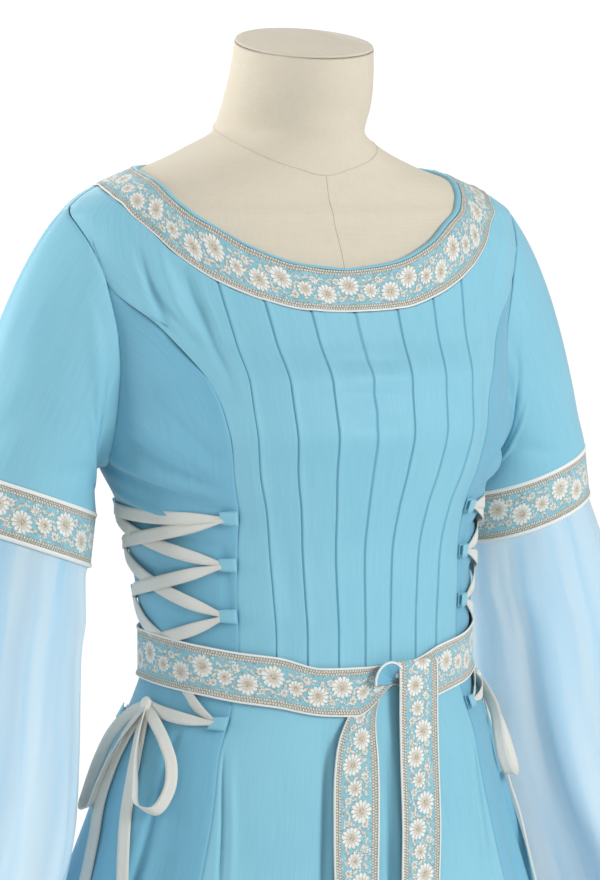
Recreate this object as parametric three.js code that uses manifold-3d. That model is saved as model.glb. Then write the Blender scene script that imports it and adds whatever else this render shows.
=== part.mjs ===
// Laced long-sleeved gown on a limbless linen dress form. Millimetres, +Z up, the front faces -Y,
// the wearer's right is -X. Every panel is a thin wall laid over one body surface, body(angle, z).
import * as THREE from 'three';
import { mergeVertices } from 'three/addons/utils/BufferGeometryUtils.js';
import Module from 'manifold-3d';

const CLOTH = 1.6;
const RIBBON = 2.0;
const TAPE = 0.9;
const SEAM = 0.3;
const HEM_Z = 25;
const RIBBON_WIDTH = 38;
const TAPE_WIDTH = 10;
const TUCK_HEIGHT = 1.3;
const TUCK_HALF = 1.5;
const TUCK_ANGLES = [-30, -19.5, -9, 0, 9, 19.5, 30];
const BASE_RADIUS = 150;
const POLE_RADIUS = 14;

const BLUE = new THREE.Color(0.30, 0.56, 0.68);
const SHEER = new THREE.Color(0.52, 0.76, 0.88);
const RIBBON_IVORY = new THREE.Color(0.74, 0.70, 0.58);
const TAPE_IVORY = new THREE.Color(0.82, 0.80, 0.70);
const LINEN = new THREE.Color(0.72, 0.68, 0.58);
const DARK_METAL = new THREE.Color(0.10, 0.10, 0.11);

// Horizontal sections of the body and skirt: half width, depth in front of and behind the middle,
// how far the middle lies back, and how square the section is.
const SECTIONS = [
  { z: 0, half: 432, front: 392, back: 392, shift: 0, square: 2.0 },
  { z: 200, half: 372, front: 326, back: 338, shift: 0, square: 2.0 },
  { z: 450, half: 298, front: 236, back: 260, shift: 0, square: 2.0 },
  { z: 700, half: 230, front: 155, back: 179, shift: 0, square: 2.0 },
  { z: 840, half: 190, front: 118, back: 138, shift: -1, square: 2.0 },
  { z: 900, half: 169, front: 112, back: 117, shift: -3, square: 2.05 },
  { z: 955, half: 153, front: 104, back: 100, shift: -6, square: 2.05 },
  { z: 985, half: 138, front: 99, back: 92, shift: -9, square: 2.05 },
  { z: 1010, half: 131, front: 97, back: 88, shift: -10, square: 2.05 },
  { z: 1040, half: 131, front: 97, back: 89, shift: -10, square: 2.05 },
  { z: 1075, half: 134, front: 99, back: 92, shift: -7, square: 2.08 },
  { z: 1105, half: 138, front: 104, back: 94, shift: -2, square: 2.1 },
  { z: 1135, half: 145, front: 113, back: 95, shift: 1, square: 2.15 },
  { z: 1165, half: 159, front: 124, back: 97, shift: 4, square: 2.2 },
  { z: 1197, half: 167, front: 136, back: 101, shift: 10, square: 2.22 },
  { z: 1228, half: 170, front: 136, back: 103, shift: 16, square: 2.25 },
  { z: 1260, half: 175, front: 120, back: 103, shift: 19, square: 2.3 },
  { z: 1300, half: 185, front: 99, back: 100, shift: 17, square: 2.3 },
  { z: 1330, half: 190, front: 83, back: 94, shift: 14, square: 2.25 },
  { z: 1350, half: 188, front: 71, back: 84, shift: 14, square: 2.15 },
  { z: 1362, half: 176, front: 69, back: 73, shift: 19, square: 2.1 },
  { z: 1375, half: 151, front: 72, back: 63, shift: 26, square: 2.05 },
  { z: 1388, half: 114, front: 80, back: 48, shift: 36, square: 2.0 },
  { z: 1402, half: 81, front: 82, back: 37, shift: 38, square: 2.0 },
  { z: 1416, half: 59, front: 73, back: 42, shift: 26, square: 2.0 },
  { z: 1436, half: 58, front: 57, back: 55, shift: 6, square: 2.0 },
  { z: 1465, half: 55, front: 53, back: 56, shift: -5, square: 2.0 },
  { z: 1500, half: 52, front: 49, back: 57, shift: -11, square: 2.0 },
];

// Hanging folds of the skirt: the angle each lies at, its half width in degrees, its rise at the hem
// (a trough is negative) and the height it starts from.
const SKIRT_FOLDS = [
  { angle: -168, wide: 7, rise: 24, from: 960 },
  { angle: -150, wide: 7, rise: -22, from: 955 },
  { angle: -133, wide: 7, rise: 26, from: 965 },
  { angle: -117, wide: 6, rise: -26, from: 960 },
  { angle: -101, wide: 6, rise: 24, from: 955 },
  { angle: -86, wide: 6, rise: -26, from: 975 },
  { angle: -71, wide: 6, rise: 24, from: 960 },
  { angle: -57, wide: 5, rise: -24, from: 975 },
  { angle: -42, wide: 6, rise: 22, from: 940 },
  { angle: -22, wide: 7, rise: -16, from: 860 },
  { angle: -3, wide: 8, rise: 14, from: 800 },
  { angle: 18, wide: 7, rise: -15, from: 870 },
  { angle: 39, wide: 6, rise: 20, from: 930 },
  { angle: 55, wide: 5, rise: -22, from: 970 },
  { angle: 69, wide: 6, rise: 24, from: 955 },
  { angle: 85, wide: 6, rise: -25, from: 975 },
  { angle: 100, wide: 6, rise: 25, from: 960 },
  { angle: 116, wide: 6, rise: -24, from: 955 },
  { angle: 132, wide: 7, rise: 24, from: 965 },
  { angle: 149, wide: 7, rise: -20, from: 960 },
  { angle: 168, wide: 7, rise: 22, from: 955 },
];

// Edge of the neckline against the ribbon, and the free inner edge of the ribbon.
const NECKLINE = [
  { angle: 0, outer: 1279, inner: 1311 },
  { angle: 10, outer: 1281, inner: 1316 },
  { angle: 20, outer: 1289, inner: 1328 },
  { angle: 30, outer: 1302, inner: 1345 },
  { angle: 40, outer: 1322, inner: 1360 },
  { angle: 50, outer: 1345, inner: 1371 },
  { angle: 60, outer: 1359, inner: 1377 },
  { angle: 75, outer: 1368, inner: 1382 },
  { angle: 90, outer: 1372, inner: 1385 },
  { angle: 110, outer: 1371, inner: 1387 },
  { angle: 135, outer: 1365, inner: 1388 },
  { angle: 160, outer: 1358, inner: 1388 },
  { angle: 180, outer: 1355, inner: 1387 },
];

// Rows shared by all panels, from the hem to below the armholes, with the two seams of each side.
const LOWER_ROWS = [
  { z: HEM_Z, front: 47, back: 118 },
  { z: 230, front: 46.5, back: 118 },
  { z: 430, front: 46, back: 117 },
  { z: 620, front: 45, back: 116 },
  { z: 770, front: 44, back: 115 },
  { z: 860, front: 43.2, back: 114 },
  { z: 920, front: 43.5, back: 113 },
  { z: 962, front: 44.5, back: 112 },
  { z: 1000, front: 45, back: 112 },
  { z: 1030, front: 44, back: 112 },
  { z: 1065, front: 43.5, back: 113 },
  { z: 1100, front: 41.5, back: 115 },
  { z: 1140, front: 39, back: 120 },
];

// Height of the neckline's edge at the centre front, the shoulder and the nape.
const NECK_FRONT = 1279;
const NECK_SHOULDER = 1372;
const NECK_NAPE = 1355;

// The same seams from there up to the armhole.
const UPPER_ROWS = [
  { front: 37.7, frontZ: 1180, back: 126, backZ: 1172, middle: 1180, nape: 1172 },
  { front: 38.5, frontZ: 1207, back: 128, backZ: 1198, middle: 1196, nape: 1196 },
  { front: 41, frontZ: 1229, back: 128, backZ: 1222, middle: 1209, nape: 1220 },
  { front: 45.5, frontZ: 1250, back: 126, backZ: 1246, middle: 1220, nape: 1243 },
  { front: 52.5, frontZ: 1274, back: 121, backZ: 1268, middle: 1231, nape: 1265 },
  { front: 66.5, frontZ: 1302, back: 113, backZ: 1286, middle: 1243, nape: 1285 },
];

// The armhole: from the shoulder point down the front, under the arm and up the back.
const ARMHOLE = [
  { angle: 90, z: 1357 },
  { angle: 78, z: 1344 },
  { angle: 69.5, z: 1325 },
  { angle: 66.5, z: 1302 },
  { angle: 67, z: 1279 },
  { angle: 69, z: 1255 },
  { angle: 72.5, z: 1229 },
  { angle: 76.5, z: 1202 },
  { angle: 83, z: 1179 },
  { angle: 91, z: 1165 },
  { angle: 100, z: 1172 },
  { angle: 107, z: 1195 },
  { angle: 111, z: 1225 },
  { angle: 113, z: 1256 },
  { angle: 113, z: 1286 },
  { angle: 111.5, z: 1309 },
  { angle: 106, z: 1332 },
  { angle: 98.5, z: 1347 },
];
const FRONT_JOINT = 3;
const BACK_JOINT = 14;

// Rows of the front and back above the joints: armhole, then the shoulder seam to the neckline.
const FRONT_TOP = [
  { angle: 69.5, z: 1325, middle: 1252 },
  { angle: 78, z: 1344, middle: 1260 },
  { angle: 90, z: 1357, middle: 1267 },
  { angle: 90, z: 1365, middle: 1273 },
  { angle: 90, z: NECK_SHOULDER, middle: NECK_FRONT },
];
const BACK_TOP = [
  { angle: 111.5, z: 1309, middle: 1301 },
  { angle: 106, z: 1332, middle: 1316 },
  { angle: 98.5, z: 1347, middle: 1329 },
  { angle: 90, z: 1357, middle: 1339 },
  { angle: 90, z: 1365, middle: 1347 },
  { angle: 90, z: NECK_SHOULDER, middle: NECK_NAPE },
];

// The belt's two edges dip at the front where it is tied.
const BELT = [
  { angle: 0, top: 1018, bottom: 980 },
  { angle: 15, top: 1019, bottom: 983 },
  { angle: 30, top: 1028, bottom: 990 },
  { angle: 45, top: 1032, bottom: 994 },
  { angle: 60, top: 1036, bottom: 998 },
  { angle: 90, top: 1041, bottom: 1002 },
  { angle: 130, top: 1041, bottom: 1003 },
  { angle: 180, top: 1041, bottom: 1003 },
];

// Sheer sleeve below its ribbon: middle, half width and half depth of each level.
const SHEER_ROWS = [
  { z: 1095, x: 228, y: 33, half: 52, deep: 53, fold: 0 },
  { z: 1062, x: 231.5, y: 33, half: 62, deep: 56, fold: 1.5 },
  { z: 1020, x: 241, y: 30, half: 66, deep: 60, fold: 3 },
  { z: 950, x: 250.5, y: 26, half: 71, deep: 68, fold: 4.5 },
  { z: 890, x: 263.5, y: 20, half: 76, deep: 78, fold: 6 },
  { z: 850, x: 276.5, y: 15, half: 77, deep: 84, fold: 6.5 },
  { z: 800, x: 292, y: 11, half: 77, deep: 92, fold: 7 },
  { z: 740, x: 315.5, y: 9, half: 77, deep: 101, fold: 8 },
  { z: 660, x: 346.5, y: 7, half: 77, deep: 112, fold: 9 },
];
const SHEER_FOLDS = 6;
const CUFF_CENTRE = new THREE.Vector3(215.5, 32, 1146);
const CUFF_RADIUS = 52;
const CUFF_LEAN = THREE.MathUtils.degToRad(20);
const ARM_LEAN = THREE.MathUtils.degToRad(7);
const CUFF_WIDTH = 40;

// Loops that carry the lace on each seam, and the order in which the lace runs over the side panel.
const FRONT_LOOPS = [1132, 1096, 1058, 978];
const BACK_LOOPS = [1132, 1102, 1066, 972];
const LACE_RUNS = [
  { from: 'back', start: 0, to: 'front', end: 0, lift: 0 },
  { from: 'front', start: 0, to: 'back', end: 1, lift: 1.5 },
  { from: 'back', start: 0, to: 'front', end: 1, lift: 0 },
  { from: 'front', start: 1, to: 'back', end: 2, lift: 1.5 },
  { from: 'back', start: 1, to: 'front', end: 2, lift: 0 },
  { from: 'front', start: 2, to: 'belt', end: 0, lift: 0 },
  { from: 'back', start: 2, to: 'belt', end: 1, lift: 0 },
];
// Below the belt the lace runs from the belt's edge to the lowest loop and back to the bow's knot.
const BOW_RUNS = [
  { from: 'front', start: 3, to: 'belt', end: 2, lift: 0 },
  { from: 'front', start: 3, to: 'belt', end: 3, lift: 1.5 },
];
// Where the lace goes under the belt, and last the knot of the bow.
const LACE_ENDS = [
  { angle: 75, z: 1048.5 },
  { angle: 84, z: 1054 },
  { angle: 68, z: 992.5 },
  { angle: 78, z: 984 },
];

const rad = THREE.MathUtils.degToRad;
const lerp = THREE.MathUtils.lerp;

// A smooth curve through the named columns of a table that never overshoots its rows.
function along(table, key, name, at) {
  const last = table.length - 2;
  let k = 0;
  while (k < last && at > table[k + 1][key]) k += 1;
  const slope = (i) => (table[i + 1][name] - table[i][name]) / (table[i + 1][key] - table[i][key]);
  const bend = (i) => {
    if (i === 0) return slope(0);
    if (i === table.length - 1) return slope(i - 1);
    const before = slope(i - 1);
    const after = slope(i);
    return before * after <= 0 ? 0 : (2 * before * after) / (before + after);
  };
  const span = table[k + 1][key] - table[k][key];
  const t = THREE.MathUtils.clamp((at - table[k][key]) / span, 0, 1);
  const s = t * t;
  const c = s * t;
  return table[k][name] * (2 * c - 3 * s + 1) + span * bend(k) * (c - 2 * s + t)
    + table[k + 1][name] * (3 * s - 2 * c) + span * bend(k + 1) * (c - s);
}

function foldRise(angle, z) {
  let rise = 0;
  for (const fold of SKIRT_FOLDS) {
    const away = ((angle - fold.angle + 540) % 360) - 180;
    const drop = THREE.MathUtils.clamp((fold.from - z) / (fold.from - HEM_Z), 0, 1);
    rise += fold.rise * Math.exp(-((away / fold.wide) ** 2)) * drop * (1.25 - 0.25 * drop);
  }
  return rise;
}

function tuckRise(angle, z) {
  if (z < 1012) return 0;
  const near = Math.min(...TUCK_ANGLES.map((tuck) => Math.abs(angle - tuck)));
  return near < TUCK_HALF ? TUCK_HEIGHT * (1 - near / TUCK_HALF) : 0;
}

// The body surface. angle is in degrees from the centre front towards +X.
function body(angle, z, off = 0) {
  const half = along(SECTIONS, 'z', 'half', z) + off;
  const s = Math.sin(rad(angle));
  const c = Math.cos(rad(angle));
  const depth = along(SECTIONS, 'z', c > 0 ? 'front' : 'back', z) + off;
  const power = 2 / along(SECTIONS, 'z', 'square', z);
  const x = half * Math.sign(s) * Math.abs(s) ** power;
  const y = along(SECTIONS, 'z', 'shift', z) - depth * Math.sign(c) * Math.abs(c) ** power;
  return new THREE.Vector3(x, y, z);
}

// A point of the surface at, moved out along the surface's own normal.
function raised(at, angle, z, out) {
  const p = at(angle, z);
  const across = at(angle + 0.6, z).sub(at(angle - 0.6, z));
  const up = at(angle, z + 1.5).sub(at(angle, z - 1.5));
  const normal = across.cross(up).normalize();
  return p.addScaledVector(normal, out);
}

// The cloth surface: the body with folds and tucks.
function cloth(angle, z, out = 0) {
  return raised((a, h) => body(a, h, foldRise(a, h)), angle, z, out + tuckRise(angle, z));
}

// Closes a grid of outer and inner points into one wall. Rings wrap round when closed is true.
function wall(outer, inner, closed = false) {
  const rows = outer.length;
  const cols = outer[0].length;
  const points = [...outer.flat(), ...inner.flat()];
  const shift = rows * cols;
  const faces = [];
  const quad = (a, b, c, d) => faces.push(a, b, c, a, c, d);
  const id = (r, c) => r * cols + (c % cols);
  const spans = closed ? cols : cols - 1;
  for (let r = 0; r < rows - 1; r += 1) {
    for (let c = 0; c < spans; c += 1) {
      quad(id(r, c), id(r, c + 1), id(r + 1, c + 1), id(r + 1, c));
      quad(shift + id(r, c), shift + id(r + 1, c), shift + id(r + 1, c + 1), shift + id(r, c + 1));
    }
  }
  for (let c = 0; c < spans; c += 1) {
    quad(id(0, c), shift + id(0, c), shift + id(0, c + 1), id(0, c + 1));
    quad(id(rows - 1, c), id(rows - 1, c + 1), shift + id(rows - 1, c + 1), shift + id(rows - 1, c));
  }
  if (!closed) {
    for (let r = 0; r < rows - 1; r += 1) {
      quad(id(r, 0), id(r + 1, 0), shift + id(r + 1, 0), shift + id(r, 0));
      quad(id(r, cols - 1), shift + id(r, cols - 1), shift + id(r + 1, cols - 1), id(r + 1, cols - 1));
    }
  }
  return shape(points, faces);
}

// A closed mesh of points and triangles that faces outward.
function shape(points, faces) {
  const geometry = new THREE.BufferGeometry();
  geometry.setAttribute('position', new THREE.Float32BufferAttribute(points.flatMap((p) => p.toArray()), 3));
  let volume = 0;
  for (let i = 0; i < faces.length; i += 3) {
    const [a, b, c] = [points[faces[i]], points[faces[i + 1]], points[faces[i + 2]]];
    volume += a.dot(b.clone().cross(c));
  }
  if (volume < 0) {
    for (let i = 0; i < faces.length; i += 3) [faces[i + 1], faces[i + 2]] = [faces[i + 2], faces[i + 1]];
  }
  geometry.setIndex(faces);
  geometry.computeVertexNormals();
  return geometry;
}

// A wall laid on the cloth surface, from a grid of { angle, z } places.
function panel(places, low, high, closed = false) {
  const lay = (out) => places.map((row) => row.map((p) => cloth(p.angle, p.z, out)));
  return wall(lay(high), lay(low), closed);
}

// Moves the two ends of a row inwards along the cloth by half a seam gap.
function trimmed(row, cut = SEAM / 2) {
  const moved = row.map((p) => ({ ...p }));
  const pull = (end, next) => {
    const a = cloth(row[end].angle, row[end].z);
    const share = cut / a.distanceTo(cloth(row[next].angle, row[next].z));
    moved[end].angle = lerp(row[end].angle, row[next].angle, share);
    moved[end].z = lerp(row[end].z, row[next].z, share);
  };
  pull(0, 1);
  pull(row.length - 1, row.length - 2);
  return moved;
}

const mirror = (geometry) => {
  const turned = geometry.clone().scale(-1, 1, 1);
  const index = turned.index.array;
  for (let i = 0; i < index.length; i += 3) [index[i + 1], index[i + 2]] = [index[i + 2], index[i + 1]];
  turned.computeVertexNormals();
  return turned;
};

// ---- front and back panels ----
const necklineShare = (share, side) => {
  const angle = side === 'front' ? 90 * share : 180 - 90 * share;
  const middle = side === 'front' ? NECK_FRONT : NECK_NAPE;
  return (along(NECKLINE, 'angle', 'outer', angle) - middle) / (NECK_SHOULDER - middle);
};

function frontAngles(edge) {
  const inner = [0, TUCK_HALF];
  for (const tuck of TUCK_ANGLES.filter((t) => t > 0)) {
    inner.push(tuck - TUCK_HALF, tuck, tuck + TUCK_HALF);
  }
  inner.push(33.2);
  const outer = [0.34, 0.67, 1].map((share) => lerp(33.2, edge, share));
  const half = [...inner, ...outer];
  return [...half.slice(1).reverse().map((a) => -a), ...half];
}

const frontRows = [
  ...LOWER_ROWS.map((r) => ({ angle: r.front, z: r.z, middle: r.z })),
  ...UPPER_ROWS.map((r) => ({ angle: r.front, z: r.frontZ, middle: r.middle })),
  ...FRONT_TOP,
];
const frontPlaces = frontRows.map((row) => frontAngles(row.angle).map((angle) => {
  const share = necklineShare(Math.abs(angle) / row.angle, 'front');
  return { angle, z: lerp(row.middle, row.z, share) };
}));

const backRows = [
  ...LOWER_ROWS.map((r) => ({ angle: r.back, z: r.z, middle: r.z })),
  ...UPPER_ROWS.map((r) => ({ angle: r.back, z: r.backZ, middle: r.nape })),
  ...BACK_TOP,
];
const BACK_COLUMNS = 16;
const backPlaces = backRows.map((row) => Array.from({ length: BACK_COLUMNS + 1 }, (_, k) => {
  const share = Math.abs(k / BACK_COLUMNS * 2 - 1);
  const angle = lerp(row.angle, 360 - row.angle, k / BACK_COLUMNS);
  return { angle, z: lerp(row.middle, row.z, necklineShare(share, 'back')) };
}));

// ---- side panels, cut away under the arms ----
const armTop = ARMHOLE.slice(FRONT_JOINT, BACK_JOINT + 1);
const sideColumns = armTop.length - 1;
const sideBase = LOWER_ROWS[LOWER_ROWS.length - 1];
const sideRow = (front, back, z) => armTop.map((_, k) => ({ angle: lerp(front, back, k / sideColumns), z }));
const sidePlaces = LOWER_ROWS.map((r) => sideRow(r.front, r.back, r.z));
UPPER_ROWS.forEach((row, step) => {
  const rise = (step + 1) / UPPER_ROWS.length;
  sidePlaces.push(armTop.map((top, k) => {
    const share = k / sideColumns;
    const base = { angle: lerp(sideBase.front, sideBase.back, share), z: sideBase.z };
    const front = {
      angle: row.front - lerp(sideBase.front, armTop[0].angle, rise),
      z: row.frontZ - lerp(sideBase.z, armTop[0].z, rise),
    };
    const back = {
      angle: row.back - lerp(sideBase.back, armTop[sideColumns].angle, rise),
      z: row.backZ - lerp(sideBase.z, armTop[sideColumns].z, rise),
    };
    return {
      angle: lerp(base.angle, top.angle, rise) + lerp(front.angle, back.angle, share),
      z: lerp(base.z, top.z, rise) + lerp(front.z, back.z, share),
    };
  }));
});

// A point on the flat facets of a panel below the armholes, moved out, so that what lies there is clear.
function laid(columns, angle, z, out) {
  let r = 0;
  while (r < LOWER_ROWS.length - 2 && z > LOWER_ROWS[r + 1].z) r += 1;
  const rise = (z - LOWER_ROWS[r].z) / (LOWER_ROWS[r + 1].z - LOWER_ROWS[r].z);
  const low = columns(LOWER_ROWS[r]);
  const high = columns(LOWER_ROWS[r + 1]);
  const here = low.map((a, k) => lerp(a, high[k], rise));
  let c = 0;
  while (c < here.length - 2 && angle > here[c + 1]) c += 1;
  const share = (angle - here[c]) / (here[c + 1] - here[c]);
  const at = (row, k) => cloth(row[k], (row === low ? LOWER_ROWS[r] : LOWER_ROWS[r + 1]).z, out);
  const bottom = at(low, c).lerp(at(low, c + 1), share);
  return bottom.lerp(at(high, c).lerp(at(high, c + 1), share), rise);
}
const sideAngles = (row) => armTop.map((_, k) => lerp(row.front, row.back, k / sideColumns));
const onSide = (angle, z, out) => laid(sideAngles, angle, z, out);
const onFront = (angle, z, out) => laid((row) => frontAngles(row.front), angle, z, out);

// ---- neckline ribbon and the narrow binding inside it ----
const frontNeck = frontPlaces[frontPlaces.length - 1];
const backNeck = backPlaces[backPlaces.length - 1];
const neckAngles = [...frontNeck.slice(0, -1), ...backNeck.slice(0, -1)].map((p) => p.angle);
const neckEdge = (angle, name) => along(NECKLINE, 'angle', name, Math.abs(((angle + 540) % 360) - 180));
const neckRing = (share) => neckAngles.map((angle) => {
  const outer = neckEdge(angle, 'outer');
  return { angle, z: lerp(outer, neckEdge(angle, 'inner'), share) };
});

// ---- belt ----
const beltAngles = [
  ...frontAngles(42).slice(0, -1),
  ...Array.from({ length: 11 }, (_, k) => lerp(42, 112, k / 11)),
  ...Array.from({ length: BACK_COLUMNS }, (_, k) => lerp(112, 248, k / BACK_COLUMNS)),
  ...Array.from({ length: 11 }, (_, k) => lerp(248, 318, k / 11)),
];
const beltRing = (share) => beltAngles.map((angle) => {
  const side = Math.abs(((angle + 540) % 360) - 180);
  return { angle, z: lerp(along(BELT, 'angle', 'bottom', side), along(BELT, 'angle', 'top', side), share) };
});

// ---- sleeves ----
const outward = new THREE.Vector3(1, 0, Math.tan(CUFF_LEAN));
const cuffAxis = new THREE.Vector3(Math.sin(ARM_LEAN), 0, -Math.cos(ARM_LEAN));
const around = (k, count) => rad(360 * k / count);

function cuffRing(count, drop, radius) {
  return Array.from({ length: count }, (_, k) => {
    const turn = around(k, count);
    return CUFF_CENTRE.clone()
      .addScaledVector(cuffAxis, drop)
      .addScaledVector(outward, radius * Math.cos(turn))
      .add(new THREE.Vector3(0, -radius * Math.sin(turn), 0));
  });
}

const holeMiddle = ARMHOLE.reduce((sum, p) => sum.add(body(p.angle, p.z)), new THREE.Vector3())
  .divideScalar(ARMHOLE.length);
const sleeveTop = ARMHOLE.map((p, k) => {
  const under = (1 - Math.cos(around(k, ARMHOLE.length))) / 2;
  const edge = cloth(p.angle, p.z, CLOTH / 2);
  return edge.addScaledVector(holeMiddle.clone().sub(edge).normalize(), 0.75 + 1.0 * under ** 2);
});
const SLEEVE_STEPS = [0, 0.06, 0.16, 0.3, 0.46, 0.64, 0.82, 1];
const sleeveEnd = cuffRing(ARMHOLE.length, -SEAM - 0.3, CUFF_RADIUS);
const sleeveGrid = SLEEVE_STEPS.map((t) => sleeveEnd.map((end, k) => {
  const turn = around(k, ARMHOLE.length);
  const start = sleeveTop[k];
  const swell = Math.sin(Math.PI * t ** 0.7);
  const out = Math.cos(turn) > 0 ? 10 * Math.cos(turn) : -11 * Math.cos(turn);
  return start.clone().lerp(end, t)
    .addScaledVector(outward, swell * out)
    .add(new THREE.Vector3(0, -2 * swell * Math.sin(turn), 0));
}));

// Moves each point of a closed ring grid along the grid's own normal.
function moved(grid, out) {
  const rows = grid.length;
  const cols = grid[0].length;
  return grid.map((row, r) => row.map((p, c) => {
    const across = row[(c + 1) % cols].clone().sub(row[(c + cols - 1) % cols]);
    const up = grid[Math.min(r + 1, rows - 1)][c].clone().sub(grid[Math.max(r - 1, 0)][c]);
    return p.clone().addScaledVector(across.cross(up).normalize(), out);
  }));
}
const tube = (grid, half) => wall(moved(grid, half), moved(grid, -half), true);

const SHEER_COLUMNS = 24;
const sheerGrid = SHEER_ROWS.map((row, r) => {
  if (r === 0) return cuffRing(SHEER_COLUMNS, CUFF_WIDTH + SEAM + 0.4, CUFF_RADIUS);
  return Array.from({ length: SHEER_COLUMNS }, (_, k) => {
    const turn = around(k, SHEER_COLUMNS);
    const wave = 1 + (row.fold / row.half) * Math.cos(SHEER_FOLDS * turn);
    const lift = r === 1 ? CUFF_RADIUS * Math.tan(CUFF_LEAN) * 0.7 * Math.cos(turn) : 0;
    return new THREE.Vector3(
      row.x + row.half * wave * Math.cos(turn),
      row.y - row.deep * wave * Math.sin(turn),
      row.z + lift,
    );
  });
});

// ---- lace, its loops and its bow ----
const wasm = await Module();
wasm.setup();

function solid(geometry) {
  const plain = new THREE.BufferGeometry();
  plain.setAttribute('position', geometry.getAttribute('position'));
  if (geometry.index) plain.setIndex(geometry.index);
  const welded = mergeVertices(plain, 1e-3);
  return new wasm.Manifold(new wasm.Mesh({
    numProp: 3,
    vertProperties: new Float32Array(welded.getAttribute('position').array),
    triVerts: new Uint32Array(welded.index.array),
  }));
}

function joined(...geometries) {
  const whole = geometries.map(solid).reduce((sum, next) => sum.add(next));
  const mesh = whole.getMesh();
  const points = [];
  for (let i = 0; i < mesh.vertProperties.length; i += mesh.numProp) {
    points.push(new THREE.Vector3(...mesh.vertProperties.slice(i, i + 3)));
  }
  return shape(points, [...mesh.triVerts]);
}

// A flat tape along points; side gives the direction of its width at each point.
function tape(points, sides, width, thickness) {
  const last = points.length - 1;
  const outer = [];
  const inner = [];
  points.forEach((p, k) => {
    const run = points[Math.min(k + 1, last)].clone().sub(points[Math.max(k - 1, 0)]);
    const side = sides[k].clone().addScaledVector(run, -sides[k].dot(run) / run.lengthSq()).normalize();
    const normal = run.cross(side).normalize();
    const edge = (share, half) => p.clone().addScaledVector(side, share * width / 2)
      .addScaledVector(normal, half);
    outer.push([edge(-1, thickness / 2), edge(1, thickness / 2)]);
    inner.push([edge(-1, -thickness / 2), edge(1, -thickness / 2)]);
  });
  return wall(outer, inner);
}

const seamAngle = (name, z) => along(LOWER_ROWS, 'z', name, z);
const LACE_OUT = CLOTH + 1.3;
const acrossMm = (angle, z, mm) => mm / cloth(angle + 0.5, z).distanceTo(cloth(angle - 0.5, z));
const loopPlace = (name, number) => {
  const z = name === 'front' ? FRONT_LOOPS[number] : BACK_LOOPS[number];
  const seam = seamAngle(name, z);
  return { angle: seam + acrossMm(seam, z, name === 'front' ? 7.5 : -7.5), z };
};

// A loop stands over the lace like a small bridge, its feet above and below the lace.
function laceLoop(name, number) {
  const place = loopPlace(name, number);
  const outs = [CLOTH + 0.45, LACE_OUT + 1.4, LACE_OUT + 1.4, CLOTH + 0.45];
  const rises = [-7, -5.6, 5.6, 7];
  const lay = (extra) => rises.map((rise, k) => [-5.5, 0, 5.5].map((mm) => onSide(
    place.angle + acrossMm(place.angle, place.z, mm), place.z + rise, outs[k] + extra,
  )));
  return wall(lay(0.9), lay(0));
}

function laceRun(run) {
  const start = loopPlace(run.from, run.start);
  const end = run.to === 'belt' ? LACE_ENDS[run.end] : loopPlace(run.to, run.end);
  const lay = (extra) => Array.from({ length: sideColumns + 1 }, (_, k) => {
    const t = k / sideColumns;
    const middle = lerp(start.z, end.z, t);
    const swing = Math.sin(Math.PI * t) ** 0.6;
    const half = 3.4 + (TAPE_WIDTH / 2 - 3.4) * swing;
    return [-1, 1].map((side) => onSide(
      lerp(start.angle, end.angle, t), middle + side * half, LACE_OUT + run.lift * swing + extra,
    ));
  });
  return wall(lay(TAPE / 2), lay(-TAPE / 2));
}

const lacing = joined(...LACE_RUNS.map(laceRun));

// The bow hangs from its knot below the belt: two loops and two long ends lie down the skirt.
// Each row gives the angle, the height and how far the tape stands off the skirt.
const BOW_KNOT = { angle: 81, z: 985, out: CLOTH + 4.55 };
const FRONT_BOW_LOOP = [
  { angle: 81, z: 985, out: 5 },
  { angle: 72, z: 974, out: 6 },
  { angle: 64, z: 962, out: 7 },
  { angle: 59, z: 946, out: 7 },
  { angle: 58.5, z: 928, out: 7 },
  { angle: 62, z: 913, out: 8 },
  { angle: 67.5, z: 916, out: 9 },
  { angle: 70, z: 932, out: 9 },
  { angle: 74, z: 956, out: 8 },
  { angle: 81, z: 985, out: 6 },
];
const REAR_BOW_LOOP = [
  { angle: 81, z: 985, out: 5 },
  { angle: 88, z: 976, out: 6 },
  { angle: 94, z: 961, out: 6 },
  { angle: 98, z: 940, out: 6 },
  { angle: 99.5, z: 918, out: 6 },
  { angle: 98, z: 903, out: 6.5 },
  { angle: 94, z: 906, out: 7 },
  { angle: 91, z: 925, out: 8 },
  { angle: 86, z: 953, out: 8 },
  { angle: 81, z: 985, out: 6 },
];
const FRONT_BOW_END = [
  { angle: 81, z: 985, out: 5 },
  { angle: 77, z: 962, out: 3.6 },
  { angle: 74.5, z: 934, out: 3.2 },
  { angle: 72.5, z: 905, out: 3.2 },
  { angle: 69, z: 880, out: 3.2 },
  { angle: 65, z: 845, out: 3.2 },
  { angle: 63, z: 785, out: 3.2 },
];
const REAR_BOW_END = [
  { angle: 81, z: 985, out: 5 },
  { angle: 85.5, z: 962, out: 3.6 },
  { angle: 89.5, z: 936, out: 3.2 },
  { angle: 91, z: 910, out: 3.2 },
  { angle: 89, z: 885, out: 3.2 },
  { angle: 86, z: 850, out: 3.2 },
  { angle: 84, z: 785, out: 3.2 },
];
const bowPoint = (row, out = 0, turn = 0) => onSide(row.angle + turn, row.z, CLOTH + row.out + out);
const bowLoop = (rows) => tape(
  rows.map((row) => bowPoint(row)), rows.map((row) => bowPoint(row, 5).sub(bowPoint(row))), 6, TAPE,
);
const bowEnd = (rows) => tape(
  rows.map((row) => bowPoint(row)), rows.map((row) => bowPoint(row, 0, 1).sub(bowPoint(row, 0, -1))),
  TAPE_WIDTH, TAPE,
);
const bowKnot = new THREE.SphereGeometry(7, 8, 6).scale(0.6, 1, 0.85);
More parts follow.
